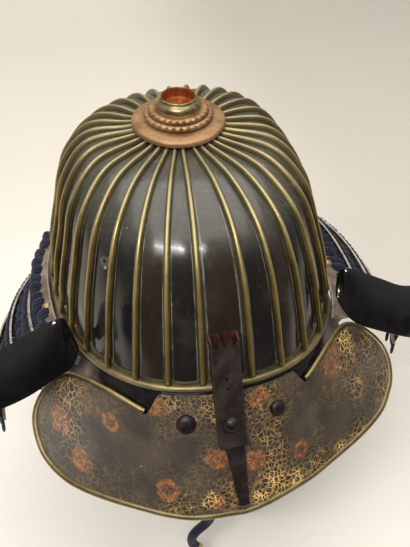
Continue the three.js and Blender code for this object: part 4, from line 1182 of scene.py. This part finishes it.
def make_socket():
    """A flat tube with rounded corners, teeth cut in its front lip and a slot in its back."""
    x, y, z, width, depth = through(HOLDER, np.linspace(0, 3, 37)).T
    centre = np.stack([x, y, z], -1)
    along = unit(np.gradient(centre, axis=0))
    across = unit(np.array([[1.0, 0, 0]]) - along * along[:, :1])
    out = np.cross(along, across)
    out[out[:, 1] > 0] *= -1
    bx, by = socket_section()
    notch = np.maximum(0, 1 - np.abs(((bx * 1.5 + 0.5) % 1) - 0.5) / 0.38)
    slot = np.where((by < -0.99) & (np.abs(bx + 0.06) < 0.13), 5.5, 0)
    cut = np.where(by > 0.99, TOOTH_DEPTH * notch, -2.6 * (0.5 - 0.5 * by)) + slot
    grids = []
    for shrink in (0, HOLDER_WALL):
        sideways = across[:, None] * ((width / 2 - shrink)[:, None] * bx)[..., None]
        forward = out[:, None] * ((depth / 2 - shrink)[:, None] * by)[..., None]
        skin = centre[:, None] + sideways + forward
        for row in range(8):
            skin[row] += along[row] * (cut * (1 - row / 8))[:, None]
        grids.append(skin)
    outer, inner = grids
    m, n = outer.shape[:2]
    deep, half = 26, m * n
    points = np.concatenate([outer.reshape(-1, 3), inner[:deep].reshape(-1, 3)])
    faces = grid_faces(m, n, False, True) + grid_faces(deep, n, False, True, half, True)
    faces += [tuple(range(half - 1, half - n - 1, -1)), tuple(range(half + (deep - 1) * n, half + deep * n))]
    for k in range(n):
        faces.append((k, (k + 1) % n, half + (k + 1) % n, half + k))
    side = np.concatenate([np.zeros(half), np.ones(len(points) - half)])
    body = mesh_object("crest_socket", points, faces, np.stack([side, 0 * side], -1), 35)
    finish_piece(body, socket_m, "crest_holder")


def make_stem():
    """The stem that tapers down the peak from the socket: a bar with its upper edges taken off."""
    rings = []
    for t in np.linspace(0, 1, 17):
        half = (15 - 8 * t) / 2
        section = ((-half, 1.8), (-half + 0.4, 1.5), (half - 0.4, 1.5), (half, 1.8), (half, 3.2),
                   (half - 0.5, 3.6), (-half + 0.5, 3.6), (-half, 3.2))
        rings.append([visor_point(0, 30 + 52 * t, lift) + [x - 2 * (1 - t), 0, 0] for x, lift in section])
    finish_piece(sweep("crest_stem", np.array(rings), sharp=30), iron_m)


def make_holder_rivet():
    """The domed rivet on the socket's lower front."""
    share = 0.3
    upper, lower = HOLDER[2], HOLDER[3]
    middle = upper + (lower - upper) * share
    axis = unit(np.cross([1.0, 0, 0], [0, lower[1] - upper[1], lower[2] - upper[2]]))
    axis = axis if axis[1] < 0 else -axis
    foot = middle[:3] + axis * (middle[4] / 2 + 0.2)
    dome_head("holder_rivet_head", 6.2, 4.2, foot, foot + axis, rivet_m, "holder_rivet")


def make_holder_holes():
    """Two small dark discs on the socket's front: painted shade standing in for its holes."""
    normal = unit(np.array([0, -1.0, 0.27]))
    for k, (x, level) in enumerate(((-4.4, 16.0), (-3.9, 8.5))):
        y = np.interp(-level, -HOLDER[:, 2], HOLDER[:, 1])
        half = np.interp(-level, -HOLDER[:, 2], HOLDER[:, 4]) / 2
        face = np.array([x, y, level]) + normal * half
        # Black discs: painted shade in the holes.
        dome_head(f"holder_hole_{k + 1}", 1.2, 0.1, face + normal * 0.05, face + normal, band_m)


# ---- neck guard ----

def make_lames():
    """Lames: each is a thin wall bowed by a half sine; the first narrows at its front ends."""
    u, v = grid(np.linspace(0, 1, 161), np.linspace(0, 1, 13))
    for k, row in enumerate(LAMES):
        front, down = row[4], v
        if k == 0:
            front = 48
            azimuth = behind(front, u)
            down = v * (0.34 + 0.66 * smooth(48, 56, np.minimum(azimuth, 360 - azimuth)))
        bow = LAME_BOW * np.sin(math.pi * down)
        outer = lame_point(k, behind(front, u), down, LAME_WALL + bow)
        inner = lame_point(k, behind(front, u), down, bow)
        lame = shell(f"lame_{k + 1}_lacquer", outer, inner, uv=np.stack([u, down], -1))
        finish_piece(lame, lame_m, f"neck_lame_{k + 1}")


def foot_bundles(k, front, around_it, rng):
    """Plump, uneven bundles of five strands over a lame's foot; each rises as a half sine to the 0.7."""
    row = LAMES[k]
    span = math.hypot(row[2] - row[0], row[3] - row[1])
    t = np.linspace(0, 1, 9)
    count = int(around_it / BUNDLE_PITCH)
    paths = []
    for b in range(count):
        middle = (b + 0.5 + rng.normal(0, 0.07)) / count
        slide, plump, size = rng.normal(0, 1.3), rng.normal(0, 0.5), 1 + rng.normal(0, 0.1)
        skew = rng.normal(0, 1.6)
        for across in (-1, -0.5, 0, 0.5, 1):
            length = (13.5 - 2.6 * across**2) * size
            v1 = 1 + (2.4 + slide - 0.9 * across**2) / span
            v0 = v1 - length / span
            hill = np.sin(np.pi * (0.04 + 0.92 * t)) ** 0.7 * (4.9 - 1.9 * across**2 + plump)
            offset = (across * 4.7 * size + skew * (t - 0.5) + 0.3 * np.sin(6 * t + b)) / around_it
            paths.append(lame_point(k, behind(front, middle + offset), v0 + (v1 - v0) * t, 1.2 + hill))
    return paths


def make_lacing():
    """Silk laces: bundles over each foot, rows on the middle lames, laces between lames, ends at the last."""
    rng = np.random.default_rng(7)
    t = np.linspace(0, 1, 9)
    arch = np.sin(np.pi * t)
    for k, row in enumerate(LAMES):
        front = (max(row[4], LAMES[k + 1][4]) if k < 3 else row[4]) + 1
        around_it = lengths(lame_point(k, behind(front, np.linspace(0, 1, 400)), 1.0, 3))[-1]
        paths = foot_bundles(k, front, around_it, rng)
        if k in (1, 2):
            count = 2 * int(around_it / BUNDLE_PITCH)
            for b in range(count):
                azimuth = behind(front, (b + 0.5 + rng.normal(0, 0.12)) / count)
                paths.append(lame_point(k, azimuth, 0.05 + 0.6 * t, 2.4 + 0.7 * arch))
        if k < 3:
            count = int(around_it / LACE_PITCH)
            for b in range(count):
                azimuth = behind(front, (b + 0.5 + rng.normal(0, 0.15)) / count)
                start, end = lame_point(k, azimuth, 1.0, 0.8), lame_point(k + 1, azimuth, 0.3, 2.4)
                paths.append(start + (end - start) * t[:, None] - 0.8 * arch[:, None] * [0, 0, 1])
        else:
            for side in (0.004, 0.018, 0.03, 0.044, 0.956, 0.97, 0.984, 0.996):
                start = lame_point(k, behind(front, side), 0.96, 2.6)
                fall = [rng.normal(0, 1.4) * t**2, rng.normal(0, 1.4) * t**2, -rng.uniform(13, 21) * t]
                paths.append(start + np.stack(fall, -1))
        lacing = many_tubes(f"lacing_{k + 1}_bundles", paths, STRAND_RADIUS, 8)
        finish_piece(lacing, silk_m, *([f"lacing_{k + 1}"] if k < 3 else []))


def make_studs():
    """A domed gilt stud on each side of the top lame."""
    top_out, _, foot_out = LAMES[0][:3]
    v = (STUD["out"] - top_out) / (foot_out - top_out)
    for name, side in (("neck_stud_left", 1), ("neck_stud_right", -1)):
        foot, tip = (lame_point(0, side * STUD["azimuth"], v, lift) for lift in (2.2, 4))
        dome_head(name + "_head", STUD["radius"], STUD["height"], foot, tip, gilt_m, name)


def turnback_face(rows, u, v, lift):
    """A ruled band between two curves through the stations, moved along its normal, with a slight bulge."""
    def midline(u, v):
        """A point at u round the fold and v down."""
        at = through(rows, u * (len(rows) - 1))
        return at[..., :3] * (1 - v[..., None]) + at[..., 3:] * v[..., None]

    along = midline(np.minimum(u + 0.02, 1), v) - midline(np.maximum(u - 0.02, 0), v)
    down = midline(u, v * 0 + 1) - midline(u, v * 0)
    bulge = 3 * np.sin(math.pi * v) * smooth(0.3, 0.6, u)
    return midline(u, v) + unit(np.cross(down, along)) * (lift + bulge)[..., None]


def make_turnbacks():
    """Black lacquered flaps that thin towards their edges."""
    u, v = grid(np.linspace(0, 1, 81), np.linspace(0, 1, 25))
    thin = TURNBACK_HALF_WALL * (1 - 0.7 * np.abs(2 * v - 1) ** 12)
    for name, mirror, changed in (("turnback_left", 1, {}), ("turnback_right", -1, TURNBACK_RIGHT)):
        rows = TURNBACK.copy()
        for k, row in changed.items():
            rows[k] = row
        walls = [turnback_face(rows, u, v, lift) * [mirror, 1, 1] for lift in (thin, -thin)]
        finish_piece(shell(name + "_flap", *walls[::mirror]), turn_m, name)


make_bowl()
make_ribs()
make_border()
make_rim()
make_waist()
make_crown()
make_peak()
make_peak_rivets()
make_socket()
make_stem()
make_holder_rivet()
make_holder_holes()
make_lames()
make_lacing()
make_studs()
make_turnbacks()


# ---- floor and light ----

def make_floor():
    """Pale floor that curves up into a wall, dark ahead of the helmet; painted shade makes it darker behind
    and towards the wearer's left.
    """
    ground, bend, radius = -262, 1200, 800
    turns = np.linspace(0.1, 1.5, 12)
    y = np.concatenate([[-3000, bend], bend + radius * np.sin(turns), [bend + radius]])
    z = np.concatenate([[0, 0], radius - radius * np.cos(turns), [3000]]) + ground
    left = np.stack([-4000 + 0 * y, y, z], -1)
    points = np.stack([left, left * [-1, 1, 1]], 1).reshape(-1, 3)
    faces = [(2 * k, 2 * k + 1, 2 * k + 3, 2 * k + 2) for k in range(len(y) - 1)]
    floor = mesh_object("floor", points, faces)
    s = Shade("floor_pale", None, 0.9)
    x, y, _ = s.split(s.object)
    # Painted shade: a little darker behind, and darker towards the wearer's left, where the light falls off.
    pale = s.mix(s.step(y, 0.1, 0.7), (222, 217, 208), (214, 208, 197))
    pale = s.mix(s.step(x, 0.08, 0.4), pale, (190, 184, 174))
    s.base = s.mix(s.step(y, -0.5, -0.24), (24, 25, 32), pale)
    floor.data.materials.append(s.done())


def make_sky():
    """Soft light from all round: brighter above and from behind."""
    world = bpy.data.worlds.new("world")
    world.use_nodes = True
    sky = Nodes(world.node_tree)
    _, y, z = sky.split(sky.node("TexCoord").outputs["Generated"])
    glow = sky.times(sky.step(z, -0.1, 0.75, 0.22, 0.62), sky.step(y, -0.95, -0.1, 0.18, 0.8))
    background = world.node_tree.nodes["Background"]
    background.inputs[0].default_value = (1, 0.97, 0.93, 1)
    world.node_tree.links.new(glow, background.inputs[1])
    scene.world = world


def make_lights():
    """Soft rectangles of light, each facing the middle."""
    for name, place, wide, tall, power, tone, mirrored in LIGHTS:
        data = bpy.data.lights.new(name, "AREA")
        data.shape = "RECTANGLE"
        data.size = wide
        data.size_y = tall
        data.energy = power
        data.color = tone
        back = unit(np.array(place))
        right = unit(np.cross([0, 0, 1.0], back))
        stand(name, data, right, np.cross(back, right), back, place).visible_glossy = mirrored


make_floor()
make_sky()
make_lights()
